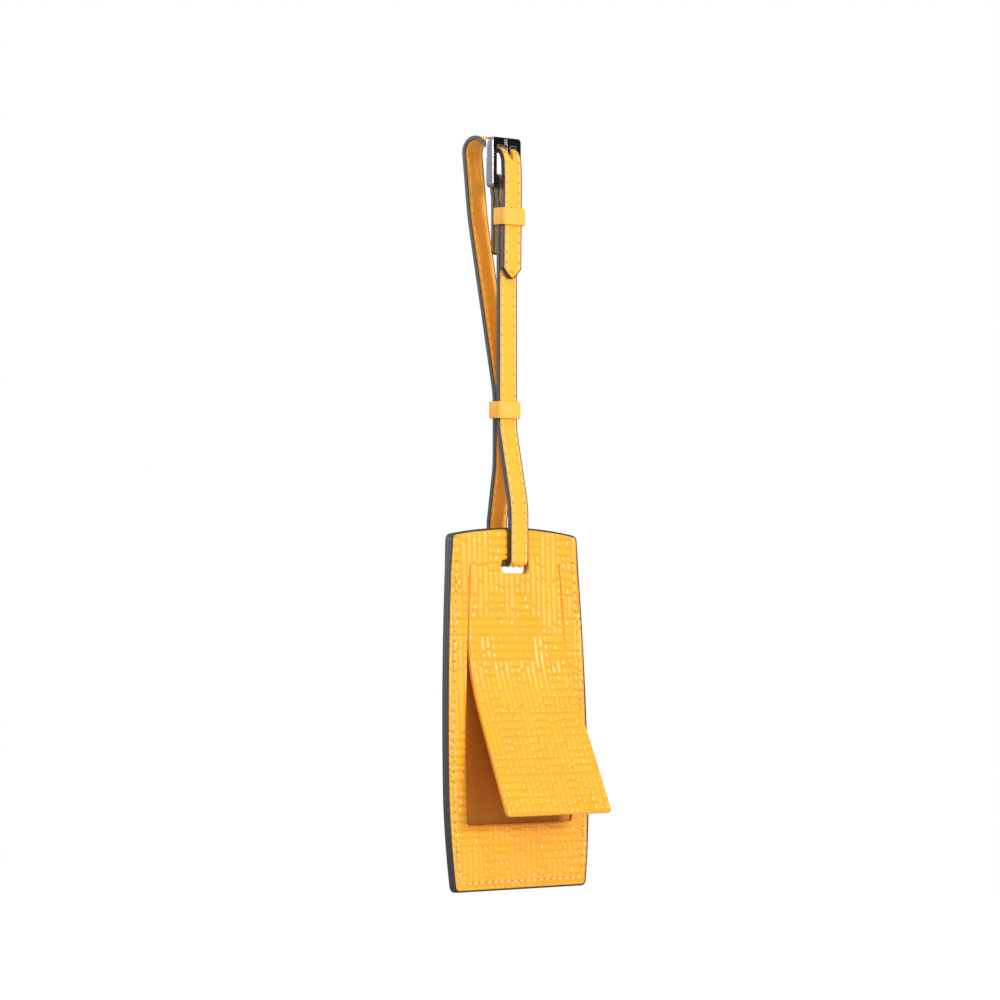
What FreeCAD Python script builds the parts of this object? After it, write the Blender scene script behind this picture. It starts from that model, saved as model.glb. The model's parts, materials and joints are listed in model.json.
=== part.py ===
import FreeCAD, Part
import Sketcher
import math
import os

# Leather luggage tag that hangs from a buckled strap.  Millimetres, +Z up, the tag's front looks
# towards -Y.  The origin is the seat inside the top of the strap's loop, where a bag handle bears.

SIZES = [
    ("hang_drop", 139.6, "loop seat down to the middle of the tag's slot"),
    ("loop_to_tag_front", 14.35, "loop seat forward to the tag's front face"),
    ("loop_bend_radius", 3.8, "inside radius of the strap over the handle"),
    ("tag_height", 114.8, "top corners down to the bottom edge"),
    ("tag_top_width", 61.8, "across the top corners"),
    ("tag_wide_width", 69.7, "across the widest place"),
    ("tag_wide_drop", 85.0, "top corners down to the widest place"),
    ("tag_foot_width", 64.6, "across the bottom corners"),
    ("arch_rise", 2.4, "how far the top edge arches up"),
    ("tag_lean", 1.5, "angle by which the tag's foot hangs forward, degrees"),
    ("side_bow", 1.0, "bulge of each long side above its widest place"),
    ("foot_bow", 0.45, "bulge of each side below its widest place"),
    ("corner_radius", 1.8, "outer corners of the tag"),
    ("face_leather", 0.8, "embossed leather, front, flap and back"),
    ("lining_leather", 0.35, "smooth lining behind the front and the flap"),
    ("floor_leather", 0.5, "smooth leather seen inside the window"),
    ("card_gap", 0.15, "depth of the card pocket behind the window"),
    ("card_hold", 4.0, "how far the card pocket reaches behind the window's rim"),
    ("board", 0.5, "stiffening board"),
    ("coat", 0.2, "edge paint on the tag and the strap"),
    ("slot_height", 4.4, "height of the strap slot"),
    ("slot_side_room", 2.4, "room beside the strap in its slot, each side"),
    ("slot_corner", 1.6, "corner radius of the slot"),
    ("slot_drop", 12.7, "top of the arch down to the slot's middle"),
    ("cut_drop", 9.6, "top corners down to the start of the flap's cuts"),
    ("cut_width", 0.3, "width of the cut round the flap"),
    ("strip_top", 8.75, "leather beside the window at its top"),
    ("strip_foot", 8.7, "leather beside the window at its bottom"),
    ("foot_margin", 21.3, "leather below the window"),
    ("window_bow", 0.9, "bulge of the window's sides"),
    ("fold_drop", 31.0, "start of the cuts down to the flap's fold line"),
    ("fold_gap", 0.3, "gap at the fold between the two moving bodies"),
    ("flap_lift", 19.2, "angle of the flap from the tag at rest, degrees"),
    ("flap_corner", 1.5, "bottom corners of the flap and the window"),
    ("seam_inset", 2.8, "tag's edge in to its seam"),
    ("seam_start", 9.0, "top corners down to the ends of the seam"),
    ("seam_width", 0.5, "width of a seam's thread"),
    ("seam_height", 0.12, "how far a seam's thread stands up"),
    ("strap_width", 8.8, "strap over its painted edges"),
    ("strap_face", 0.8, "outer leather of the strap"),
    ("strap_lining", 0.6, "inner leather of the strap"),
    ("strap_seam_inset", 1.4, "strap's edge in to its seams"),
    ("tip_drop", 46.0, "loop seat down to the strap's point"),
    ("tip_point", 2.9, "height of the strap's point"),
    ("tip_tuck", 0.35, "how far the strap's tip leans back to the strap behind it"),
    ("turned_end_drop", 38.0, "loop seat down to the end of the strap's turned-back part"),
    ("slot_rub", 0.7, "room under the slot's top edge for the strap"),
    ("tag_rub", 0.3, "room between the tag's faces and the strap"),
    ("keeper_leather", 0.85, "leather of both keepers"),
    ("keeper_height", 5.5, "height of both keepers"),
    ("keeper_room", 0.3, "room round the strap in a keeper"),
    ("upper_keeper_drop", 25.6, "loop seat down to the upper keeper's middle"),
    ("lower_keeper_drop", 88.6, "loop seat down to the lower keeper's middle"),
    ("keeper_corner", 0.9, "outer corner radius of a keeper"),
    ("buckle_forward", 9.1, "loop seat forward to the middle of the buckle"),
    ("buckle_top", 0.35, "loop seat up to the top of the buckle"),
    ("buckle_height", 16.6, "height of the buckle's frame"),
    ("buckle_depth", 2.9, "front to back of the frame"),
    ("top_bar_height", 2.9, "height of the frame's top bar"),
    ("side_bar_width", 2.2, "width of the frame's side bars"),
    ("buckle_side_room", 0.6, "room beside the strap in the buckle"),
    ("buckle_corner", 1.4, "outer corners of the frame"),
    ("buckle_edge", 0.45, "rounding of the frame's edges"),
    ("heel_radius", 1.05, "radius of the heel bar"),
    ("heel_rise", 1.9, "bottom of the frame up to the heel bar's middle"),
    ("heel_seat", 1.2, "how deep the heel bar sits in each side bar"),
    ("heel_room", 0.12, "room between the heel bar and the strap's turn"),
    ("prong_width", 1.7, "width of the prong"),
    ("prong_wall", 0.65, "wall of the prong's eye"),
    ("prong_bore_room", 0.05, "running clearance of the prong's eye"),
    ("prong_side_room", 0.4, "room beside the prong in the strap's cuts"),
    ("prong_thickness", 0.8, "front to back of the prong's arm"),
    ("prong_gap", 0.05, "prong's arm to the front of the top bar"),
]

DOC = FreeCAD.newDocument("LuggageTag")
SHEET = DOC.addObject("Spreadsheet::Sheet", "Sizes")


class Size:
    """A length that keeps the expression it is worked out from, so a sketch can be bound to it."""

    def __init__(self, value, text):
        self.value = float(value)
        self.text = text

    def joined(self, other, sign, value):
        return Size(value, "(%s %s %s)" % (self.text, sign, other.text))

    def __add__(self, other):
        other = as_size(other)
        return self.joined(other, "+", self.value + other.value)

    def __sub__(self, other):
        other = as_size(other)
        return self.joined(other, "-", self.value - other.value)

    def __mul__(self, other):
        other = as_size(other)
        return self.joined(other, "*", self.value * other.value)

    def __truediv__(self, other):
        other = as_size(other)
        return self.joined(other, "/", self.value / other.value)

    def __neg__(self):
        return Size(-self.value, "(-1 * %s)" % self.text)


def as_size(number):
    return number if isinstance(number, Size) else Size(number, repr(float(number)))


def fill_sheet():
    """Write the driving dimensions into the sheet and hand them back by name."""
    sizes = {}
    for row, (alias, value, meaning) in enumerate(SIZES, start=1):
        SHEET.set("A%d" % row, meaning)
        SHEET.set("B%d" % row, str(value))
        SHEET.setAlias("B%d" % row, alias)
        sizes[alias] = Size(value, "Sizes." + alias)
    DOC.recompute()
    return sizes


S = fill_sheet()
ZERO = as_size(0)


# ---------------------------------------------------------------- sketch and body helpers

def new_body(name):
    body = DOC.addObject("PartDesign::Body", name)
    body.Label = name
    return body


def new_sketch(body, name, plane):
    """A sketch on one of the body's own origin planes: XY_Plane, XZ_Plane or YZ_Plane."""
    sketch = body.newObject("Sketcher::SketchObject", name)
    support = [feature for feature in body.Origin.OriginFeatures if feature.Role == plane]
    sketch.AttachmentSupport = [(support[0], "")]
    sketch.MapMode = "FlatFace"
    return sketch


def pin_vertex(sketch, element, end, point):
    """Hold one end of an element at a point given from the sketch's origin."""
    axes = (("DistanceX", point[0], -2), ("DistanceY", point[1], -1))
    for kind, size, axis in axes:
        if abs(size.value) < 1e-9:
            sketch.addConstraint(Sketcher.Constraint("PointOnObject", element, end, axis))
            continue
        if size.value > 0:
            constraint = Sketcher.Constraint(kind, -1, 1, element, end, size.value)
        else:
            size = -size
            constraint = Sketcher.Constraint(kind, element, end, -1, 1, size.value)
        number = sketch.addConstraint(constraint)
        sketch.setExpression("Constraints[%d]" % number, size.text)


def add_arc(sketch, start, end, radius, bulge):
    """An arc from start to end; bulge is 1 to bow to the left of the way from start to end."""
    first = FreeCAD.Vector(start[0].value, start[1].value, 0)
    last = FreeCAD.Vector(end[0].value, end[1].value, 0)
    chord = last - first
    left = FreeCAD.Vector(-chord.y, chord.x, 0).normalize()
    reach = math.sqrt(max(0.0, radius.value ** 2 - chord.Length ** 2 / 4))
    centre = (first + last) * 0.5 - left * (reach * bulge)
    circle = Part.Circle(centre, FreeCAD.Vector(0, 0, 1), radius.value)
    angle_first = math.atan2(first.y - centre.y, first.x - centre.x)
    angle_last = math.atan2(last.y - centre.y, last.x - centre.x)
    if bulge > 0:
        arc = Part.ArcOfCircle(circle, angle_last, angle_first)
        ends = (2, 1)
    else:
        arc = Part.ArcOfCircle(circle, angle_first, angle_last)
        ends = (1, 2)
    element = sketch.addGeometry(arc, False)
    number = sketch.addConstraint(Sketcher.Constraint("Radius", element, radius.value))
    sketch.setExpression("Constraints[%d]" % number, radius.text)
    return element, ends


def add_outline(sketch, points, arcs):
    """A closed outline through points; arcs maps a side's number to its (radius, bulge)."""
    sides = []
    for index, start in enumerate(points):
        end = points[(index + 1) % len(points)]
        if index in arcs:
            radius, bulge = arcs[index]
            sides.append(add_arc(sketch, start, end, radius, bulge))
        else:
            line = Part.LineSegment(
                FreeCAD.Vector(start[0].value, start[1].value, 0),
                FreeCAD.Vector(end[0].value, end[1].value, 0),
            )
            sides.append((sketch.addGeometry(line, False), (1, 2)))
    for index, (element, ends) in enumerate(sides):
        before, before_ends = sides[index - 1]
        sketch.addConstraint(Sketcher.Constraint("Coincident", before, before_ends[1], element, ends[0]))
        pin_vertex(sketch, element, ends[0], points[index])


def add_rounded_rectangle(sketch, low, high, radius):
    """A rectangle from low to high with its four corners rounded."""
    (left, bottom), (right, top) = low, high
    points = [
        (left + radius, bottom), (right - radius, bottom),
        (right, bottom + radius), (right, top - radius),
        (right - radius, top), (left + radius, top),
        (left, top - radius), (left, bottom + radius),
    ]
    add_outline(sketch, points, {side: (radius, -1) for side in (1, 3, 5, 7)})


def arc_radius(start, end, bow):
    """Radius of the arc that bows by bow between two points."""
    across = end[0] - start[0]
    along = end[1] - start[1]
    square = (across * across + along * along) / 4
    return (square + bow * bow) / (bow * 2)


def add_pad(body, name, sketch, length, reverse=False, both=False):
    pad = body.newObject("PartDesign::Pad", name)
    pad.Profile = sketch
    pad.SideType = "Symmetric" if both else "One side"
    pad.Reversed = reverse
    pad.setExpression("Length", length.text)
    DOC.recompute()
    return pad


def add_pocket(body, name, sketch, length, reverse=False, both=False):
    """Cut a sketch out of the body, and stop if nothing was cut."""
    before = body.Shape.Volume
    pocket = body.newObject("PartDesign::Pocket", name)
    pocket.Profile = sketch
    pocket.SideType = "Symmetric" if both else "One side"
    pocket.Reversed = reverse
    pocket.setExpression("Length", length.text)
    DOC.recompute()
    if not body.Shape.Volume < before - 1e-6:
        raise RuntimeError("%s cut nothing from %s" % (name, body.Label))
    return pocket


def round_edges(body, name, base, radius, chosen):
    """Fillet the straight edges of base for which chosen(edge) is true."""
    names = []
    for number, edge in enumerate(base.Shape.Edges, start=1):
        if edge.Curve.TypeId == "Part::GeomLine" and chosen(edge):
            names.append("Edge%d" % number)
    fillet = body.newObject("PartDesign::Fillet", name)
    fillet.Base = (base, names)
    fillet.setExpression("Radius", radius.text)
    DOC.recompute()
    return fillet


def lies_along(edge, direction):
    run = edge.Vertexes[1].Point - edge.Vertexes[0].Point
    return abs(run.normalize().dot(direction)) > 0.999


def is_corner(edge, direction, corners):
    """True for an edge along direction that passes one of the (x, z) corners."""
    if not lies_along(edge, direction):
        return False
    middle = edge.CenterOfMass
    return any(math.hypot(middle.x - x.value, middle.z - z.value) < 0.05 for x, z in corners)


ALONG_X = FreeCAD.Vector(1, 0, 0)
ALONG_Y = FreeCAD.Vector(0, 1, 0)
ALONG_Z = FreeCAD.Vector(0, 0, 1)

# ---------------------------------------------------------------- the tag's layers

# Local frame of the tag: x across, z down from the level of its top corners, front face at y = 0.
# The whole tag leans about its pivot, the middle of the slot's top edge, which rubs on the strap.
TAG_THICKNESS = (S["face_leather"] * 2 + S["lining_leather"] + S["card_gap"] + S["floor_leather"]
                 + S["board"])
SLOT_LOCAL = S["arch_rise"] - S["slot_drop"]
SLOT_HALF = S["strap_width"] / 2 + S["slot_side_room"]


def tag_corners(inset):
    """The four corners of the tag, inset from the edge, as (x, z)."""
    top_half = S["tag_top_width"] / 2 - inset
    foot_half = S["tag_foot_width"] / 2 - inset
    foot = inset - S["tag_height"]
    return [(-top_half, -inset), (top_half, -inset), (foot_half, foot), (-foot_half, foot)]


def add_tag_outline(sketch, inset):
    """The tag's outline: arched top, sides that bow out to the widest place and in again."""
    top_left, top_right, foot_right, foot_left = tag_corners(inset)
    wide_half = S["tag_wide_width"] / 2 - inset
    wide_right = (wide_half, -S["tag_wide_drop"])
    wide_left = (-wide_half, -S["tag_wide_drop"])
    points = [top_left, top_right, wide_right, foot_right, foot_left, wide_left]
    arch = arc_radius(top_left, top_right, S["arch_rise"])
    side = arc_radius(top_right, wide_right, S["side_bow"])
    foot = arc_radius(wide_right, foot_right, S["foot_bow"])
    add_outline(sketch, points, {0: (arch, 1), 1: (side, 1), 2: (foot, 1), 4: (foot, 1), 5: (side, 1)})


WINDOW_TOP = -S["cut_drop"]
WINDOW_FOOT = S["foot_margin"] - S["tag_height"]
FOLD = WINDOW_TOP - S["fold_drop"]
WINDOW_TOP_HALF = S["tag_top_width"] / 2 - S["strip_top"]
WINDOW_FOOT_HALF = S["tag_wide_width"] / 2 - S["strip_foot"]


def window_half(level):
    """Half the window's width at a level, on the bowed line of its sides."""
    share = (level - WINDOW_TOP) / (WINDOW_FOOT - WINDOW_TOP)
    chord = WINDOW_TOP_HALF + (WINDOW_FOOT_HALF - WINDOW_TOP_HALF) * share
    return chord + S["window_bow"] * 4 * share * (as_size(1) - share)


def add_window_outline(sketch):
    """The window with the flap's tongue left standing above the fold line."""
    right = arc_radius((WINDOW_TOP_HALF, WINDOW_TOP), (WINDOW_FOOT_HALF, WINDOW_FOOT), S["window_bow"])
    fold_half = window_half(FOLD) - S["cut_width"]
    tongue_half = WINDOW_TOP_HALF - S["cut_width"]
    points = [
        (-WINDOW_TOP_HALF, WINDOW_TOP), (-tongue_half, WINDOW_TOP),
        (-fold_half, FOLD), (fold_half, FOLD),
        (tongue_half, WINDOW_TOP), (WINDOW_TOP_HALF, WINDOW_TOP),
        (WINDOW_FOOT_HALF, WINDOW_FOOT), (-WINDOW_FOOT_HALF, WINDOW_FOOT),
    ]
    add_outline(sketch, points, {1: (right, -1), 3: (right, -1), 5: (right, 1), 7: (right, 1)})


LEAN_COS = Size(math.cos(math.radians(S["tag_lean"].value)), "cos(Sizes.tag_lean * 1 deg)")
LEAN_SIN = Size(math.sin(math.radians(S["tag_lean"].value)), "sin(Sizes.tag_lean * 1 deg)")
PIVOT_Y = TAG_THICKNESS / 2 - S["loop_to_tag_front"]
PIVOT_Z = S["slot_height"] / 2 - S["hang_drop"]


def place_leaning(body, depth, level, angle):
    """Put a body's origin at a depth and level of the tag's frame, turned forward by angle."""
    back = depth - TAG_THICKNESS / 2
    up = level - SLOT_LOCAL - S["slot_height"] / 2
    body.Placement = FreeCAD.Placement(
        FreeCAD.Vector(0, 0, 0), FreeCAD.Rotation(FreeCAD.Vector(-1, 0, 0), angle.value))
    body.setExpression("Placement.Rotation.Angle", angle.text)
    body.setExpression("Placement.Base.y", (PIVOT_Y + back * LEAN_COS + up * LEAN_SIN).text)
    body.setExpression("Placement.Base.z", (PIVOT_Z - back * LEAN_SIN + up * LEAN_COS).text)
    DOC.recompute()


def place_on_tag(body, depth):
    """Put a body's local front face at a depth behind the tag's front face."""
    place_leaning(body, depth, ZERO, S["tag_lean"])


def tag_layer(name, thickness, depth, window=False, pocket=False):
    """One layer of the tag: the outline with the strap's slot, and the window where it has one."""
    body = new_body(name)
    outline = new_sketch(body, name + "_outline", "XZ_Plane")
    add_tag_outline(outline, S["coat"])
    pad = add_pad(body, name + "_pad", outline, thickness, reverse=True)
    corners = tag_corners(S["coat"])
    round_edges(body, name + "_corners", pad, S["corner_radius"] - S["coat"],
                lambda edge: is_corner(edge, ALONG_Y, corners))
    slot = new_sketch(body, name + "_slot", "XZ_Plane")
    half_height = S["slot_height"] / 2
    add_rounded_rectangle(slot, (-SLOT_HALF, SLOT_LOCAL - half_height),
                          (SLOT_HALF, SLOT_LOCAL + half_height), S["slot_corner"])
    last = add_pocket(body, name + "_slot_cut", slot, thickness)
    if window:
        cut = new_sketch(body, name + "_window", "XZ_Plane")
        add_window_outline(cut)
        last = add_pocket(body, name + "_window_cut", cut, thickness)
        corners = [(WINDOW_FOOT_HALF, WINDOW_FOOT), (-WINDOW_FOOT_HALF, WINDOW_FOOT)]
        round_edges(body, name + "_window_corners", last, S["flap_corner"],
                    lambda edge: is_corner(edge, ALONG_Y, corners))
    if pocket:
        recess = new_sketch(body, name + "_recess", "XZ_Plane")
        hold = S["card_hold"]
        low = (-WINDOW_FOOT_HALF - hold, WINDOW_FOOT - hold)
        high = (WINDOW_FOOT_HALF + hold, WINDOW_TOP - hold)
        add_rounded_rectangle(recess, low, high, S["flap_corner"])
        add_pocket(body, name + "_recess_cut", recess, S["card_gap"])
    place_on_tag(body, depth)
    return body


def tag_blank(name, inset):
    """The tag's whole outline at full thickness, with rounded corners, inset from the edge."""
    body = new_body(name)
    outline = new_sketch(body, name + "_outline", "XZ_Plane")
    add_tag_outline(outline, inset)
    pad = add_pad(body, name + "_pad", outline, TAG_THICKNESS, reverse=True)
    corners = tag_corners(inset)
    round_edges(body, name + "_corners", pad, S["corner_radius"] - inset,
                lambda edge: is_corner(edge, ALONG_Y, corners))
    place_on_tag(body, ZERO)
    return body


def tag_edge_coat():
    """The bead of edge paint that runs round the whole stack of layers."""
    coat = DOC.addObject("Part::Cut", "tag_edge_coat")
    coat.Label = "tag_edge_coat"
    coat.Base = tag_blank("coat_outside", ZERO)
    coat.Tool = tag_blank("coat_inside", S["coat"])
    DOC.recompute()
    return coat


def tag_seam(name, depth):
    """One thread of the tag's seam, down one side, along the bottom and up the other."""
    body = new_body(name)
    half = S["seam_width"] / 2
    outer = new_sketch(body, name + "_outline", "XZ_Plane")
    add_tag_outline(outer, S["seam_inset"] - half)
    add_pad(body, name + "_pad", outer, S["seam_height"], reverse=True)
    inner = new_sketch(body, name + "_inside", "XZ_Plane")
    add_tag_outline(inner, S["seam_inset"] + half)
    add_pocket(body, name + "_cut", inner, S["seam_height"])
    top = new_sketch(body, name + "_top", "XZ_Plane")
    add_rounded_rectangle(top, (-S["tag_wide_width"] / 2, -S["seam_start"]),
                          (S["tag_wide_width"] / 2, S["arch_rise"] * 2), S["corner_radius"] / 4)
    add_pocket(body, name + "_top_cut", top, S["seam_height"])
    place_on_tag(body, depth)
    return body


def flap_layer(name, thickness, depth):
    """One layer of the flap, hung from the fold line and lifted off the window."""
    body = new_body(name)
    outline = new_sketch(body, name + "_outline", "XZ_Plane")
    top_half = window_half(FOLD) - S["cut_width"]
    foot_half = WINDOW_FOOT_HALF - S["cut_width"]
    foot = WINDOW_FOOT + S["cut_width"] - FOLD
    side = arc_radius((WINDOW_TOP_HALF, WINDOW_TOP), (WINDOW_FOOT_HALF, WINDOW_FOOT), S["window_bow"])
    points = [(-top_half, -S["fold_gap"]), (top_half, -S["fold_gap"]), (foot_half, foot), (-foot_half, foot)]
    add_outline(outline, points, {1: (side, 1), 3: (side, 1)})
    # the pad starts at the layer's own depth, so both layers turn about the same fold line
    outline.setExpression("AttachmentOffset.Base.z", (-depth).text)
    pad = add_pad(body, name + "_pad", outline, thickness, reverse=True)
    corners = [(foot_half, foot), (-foot_half, foot)]
    round_edges(body, name + "_corners", pad, S["flap_corner"],
                lambda edge: is_corner(edge, ALONG_Y, corners))
    place_leaning(body, ZERO, FOLD, S["tag_lean"] + S["flap_lift"])
    return body


# ---------------------------------------------------------------- the strap's route

def along(start, end):
    """Heading, as an angle, of the way from one (y, z) point to another."""
    return math.atan2(end[1] - start[1], end[0] - start[0])


def wrap(before, centre, radius, after, count):
    """Corners of a route that turns left round a circle, tangent to the ways in and out."""
    first = along(before, centre) - math.asin(radius / math.dist(before, centre))
    last = along(centre, after) + math.asin(radius / math.dist(centre, after))
    while last < first:
        last += 2 * math.pi
    step = (last - first) / count
    reach = radius / math.cos(step / 2)
    corners = []
    for index in range(count):
        side = first + step * (index + 0.5) - math.pi / 2
        corners.append((centre[0] + reach * math.cos(side), centre[1] + reach * math.sin(side), radius))
    return corners


# Place in the route of the front strand's first straight run, below its neck on the heel bar.
FRONT_SHOULDER = 7


def strap_route():
    """The strap's centre line as (y, z, bend radius) corners, from its turned end to its tip."""
    v = {name: size.value for name, size in S.items()}
    thick = v["strap_face"] + v["strap_lining"]
    heel = (-v["buckle_forward"], v["buckle_top"] - v["buckle_height"] + v["heel_rise"])
    heel_turn = v["heel_radius"] + v["heel_room"] + thick / 2
    tag_middle = -v["loop_to_tag_front"] + TAG_THICKNESS.value / 2
    slot_reach = TAG_THICKNESS.value / 2 + v["tag_rub"] + thick / 2
    slot_bottom = v["slot_height"] / 2 - v["hang_drop"] - v["slot_rub"] - thick / 2
    slot_bend = v["slot_rub"] / 2 + thick / 2 + 0.25
    front = 3.9 - v["loop_to_tag_front"]
    turned = front + thick + v["keeper_leather"] + 0.1
    keeper = -v["lower_keeper_drop"]
    rear = front + thick + v["keeper_room"]
    bar_bottom = v["buckle_top"] - v["top_bar_height"]
    tip = heel[0] - heel_turn - thick - 0.25
    neck_back = (turned + 0.05, heel[1] - 4.7)
    neck_front = (heel[0] - 0.6, heel[1] - 4.4)
    seat = (0.0, -v["loop_bend_radius"])
    rise = (2.2, -25.5)
    under_bar = (heel[0] + 1.15, bar_bottom - 1.55)
    route = [(turned, -v["turned_end_drop"], 0), (turned, heel[1] - 7.4, 5.0), (*neck_back, 2.5)]
    route += wrap(neck_back, heel, heel_turn, neck_front, 3)
    route += [
        (*neck_front, 2.5),
        (front, heel[1] - 7.0, 3.0),
        (front, keeper - 5.9, 20.0),
        (tag_middle - slot_reach, slot_bottom + 18.8, 40.0),
        (tag_middle - slot_reach, slot_bottom, slot_bend),
        (tag_middle + slot_reach, slot_bottom, slot_bend),
        (rear + 2.9, slot_bottom + 11.8, 10.0),
        (rear, keeper - 18.0, 40.0),
        (rear, keeper + 5.2, 30.0),
        (*rise, 80.0),
    ]
    route += wrap(rise, seat, v["loop_bend_radius"] + thick / 2, under_bar, 3)
    route += [
        (*under_bar, 4.0),
        (heel[0] - 2.15, bar_bottom - 1.65, 1.5),
        (tip + 0.27, heel[1] + 7.45, 5.0),
        (tip, heel[1] + 1.3, 12.0),
        (tip + v["tip_tuck"], -v["tip_drop"], 0),
    ]
    return route


def shifted_edges(route, offset):
    """Lines and tangent arcs of the route moved by offset to its left, in the plane x = 0."""
    headings = [along(start, end) for start, end in zip(route, route[1:])]
    normals = [(-math.sin(heading), math.cos(heading)) for heading in headings]
    points = []
    for index, (y, z, _) in enumerate(route):
        before = normals[max(index - 1, 0)]
        after = normals[min(index, len(normals) - 1)]
        scale = offset / (1 + before[0] * after[0] + before[1] * after[1])
        points.append(FreeCAD.Vector(0, y + (before[0] + after[0]) * scale, z + (before[1] + after[1]) * scale))
    edges = []
    here = points[0]
    for index in range(1, len(route) - 1):
        turn = math.remainder(headings[index] - headings[index - 1], 2 * math.pi)
        if abs(turn) < 1e-6:
            continue
        radius = route[index][2] - offset * math.copysign(1, turn)
        reach = radius * math.tan(abs(turn) / 2)
        way_in = (points[index] - points[index - 1]).normalize()
        way_out = (points[index + 1] - points[index]).normalize()
        start = points[index] - way_in * reach
        end = points[index] + way_out * reach
        bow = (way_out - way_in).normalize() * (radius / math.cos(turn / 2) - radius)
        if (start - here).Length > 1e-6:
            edges.append(Part.LineSegment(here, start).toShape())
        edges.append(Part.Arc(start, points[index] + bow, end).toShape())
        here = end
    edges.append(Part.LineSegment(here, points[-1]).toShape())
    return edges


def band(route, inner, outer, left, right):
    """A band that follows the route between two offsets, from x = left to x = right."""
    near = shifted_edges(route, inner)
    far = shifted_edges(route, outer)
    ends = []
    for index in (0, -1):
        near_vertex = near[index].Vertexes[index].Point
        far_vertex = far[index].Vertexes[index].Point
        ends.append(Part.LineSegment(near_vertex, far_vertex).toShape())
    wire = Part.Wire(near + [ends[1]] + list(reversed(far)) + [ends[0]])
    face = Part.Face(wire)
    face.translate(FreeCAD.Vector(left, 0, 0))
    return face.extrude(FreeCAD.Vector(right - left, 0, 0))


def between(start, end, share):
    """The plain end of a route, a share of the way from one of its corners to the next."""
    return (start[0] + (end[0] - start[0]) * share, start[1] + (end[1] - start[1]) * share, 0)


def box_between(low, high):
    size = [top - bottom for top, bottom in zip(high, low)]
    return Part.makeBox(size[0], size[1], size[2], FreeCAD.Vector(*low))


def strap_cutters(route):
    """What is cut from the strap: the point's two corners, the prong's hole and its slit."""
    v = {name: size.value for name, size in S.items()}
    thick = v["strap_face"] + v["strap_lining"]
    half = v["strap_width"] / 2
    tip_y = route[-1][0]
    back = tip_y + thick / 2 + 0.3
    reach = thick + 0.6
    cutters = []
    for side in (-1, 1):
        corners = [
            (side * half * 0.12, -v["tip_drop"]),
            (side * half * 1.5, -v["tip_drop"]),
            (side * half * 1.5, v["tip_point"] * 1.5 - v["tip_drop"]),
            (side * half, v["tip_point"] - v["tip_drop"]),
        ]
        points = [FreeCAD.Vector(x, back - reach, z) for x, z in corners]
        wedge = Part.Face(Part.makePolygon(points + points[:1]))
        cutters.append(wedge.extrude(FreeCAD.Vector(0, reach, 0)))
    hole = v["prong_width"] / 2 + v["prong_side_room"]
    heel_z = v["buckle_top"] - v["buckle_height"] + v["heel_rise"]
    hole_top = v["buckle_top"] - v["top_bar_height"] - 0.6
    # the hole narrows downwards, because the prong pulls it to a point
    half_hole = [(hole, hole_top), (hole, hole_top - 1.8), (hole * 0.72, hole_top - 3.2), (hole * 0.25, hole_top - 4.1)]
    rim = half_hole + [(-x, z) for x, z in reversed(half_hole)]
    front_reach = tip_y - 2.0
    points = [FreeCAD.Vector(x, front_reach, z) for x, z in rim]
    wedge = Part.Face(Part.makePolygon(points + points[:1]))
    cutters.append(wedge.extrude(FreeCAD.Vector(0, -v["buckle_forward"] - 0.7 - front_reach, 0)))
    eye = v["heel_radius"] + v["prong_bore_room"] + v["prong_wall"] + v["prong_side_room"]
    turn = v["heel_radius"] + v["heel_room"] + thick + 0.2
    cutters.append(box_between((-hole, -v["buckle_forward"] - turn, heel_z - eye),
                               (hole, -v["buckle_forward"] + turn, heel_z + turn)))
    return cutters


def strap_piece(name, shapes, cutters):
    """A strap piece of one or more solids, with the cuts taken from each."""
    solids = []
    for shape in shapes:
        for cutter in cutters:
            shape = shape.cut(cutter)
        solids.extend(shape.Solids)
    piece = DOC.addObject("Part::Feature", name)
    piece.Label = name
    piece.Shape = solids[0] if len(solids) == 1 else Part.makeCompound(solids)
    piece.Placement = FreeCAD.Placement()
    return piece


def strap_pieces():
    v = {name: size.value for name, size in S.items()}
    route = strap_route()
    cutters = strap_cutters(route)
    half_thick = (v["strap_face"] + v["strap_lining"]) / 2
    middle = v["strap_face"] - half_thick
    half = v["strap_width"] / 2
    core = half - v["coat"]
    pieces = [
        strap_piece("strap_face", [band(route, middle, -half_thick, -core, core)], cutters),
        strap_piece("strap_lining", [band(route, half_thick, middle, -core, core)], cutters),
    ]
    coats = [band(route, half_thick, -half_thick, low, low + v["coat"]) for low in (-half, core)]
    pieces.append(strap_piece("strap_edge_coat", coats, cutters))
    seams = [side * (half - v["strap_seam_inset"]) - v["seam_width"] / 2 for side in (-1, 1)]
    rows = []
    point_share = (v["tip_point"] + 1.0) / math.dist(route[-1][:2], route[-2][:2])
    stitched = [between(route[0], route[1], 0.1)] + route[1:-1] + [between(route[-1], route[-2], point_share)]
    for low in seams:
        rows.append(band(stitched, -half_thick, -half_thick - v["seam_height"], low, low + v["seam_width"]))
    pieces.append(strap_piece("strap_needle_thread", rows, []))
    clear = v["turned_end_drop"] + 2.0
    long_run = route[FRONT_SHOULDER + 1]
    inner_front = [(long_run[0], -clear, 0)] + route[FRONT_SHOULDER + 1:FRONT_SHOULDER + 3]
    inner_front.append(between(route[FRONT_SHOULDER + 2], route[FRONT_SHOULDER + 3], 0.5))
    rear_start = FRONT_SHOULDER + 5
    inner_rear = [between(route[rear_start], route[rear_start + 1], 0.3)]
    inner_rear += route[rear_start + 1:rear_start + 3]
    inner_rear.append(between(route[rear_start + 2], route[rear_start + 3], 0.95))
    rows = []
    for low in seams:
        for run in (inner_front, inner_rear):
            rows.append(band(run, half_thick + v["seam_height"], half_thick, low, low + v["seam_width"]))
    pieces.append(strap_piece("strap_bobbin_thread", rows, []))
    return pieces, route


# ---------------------------------------------------------------- keepers and buckle

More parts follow.
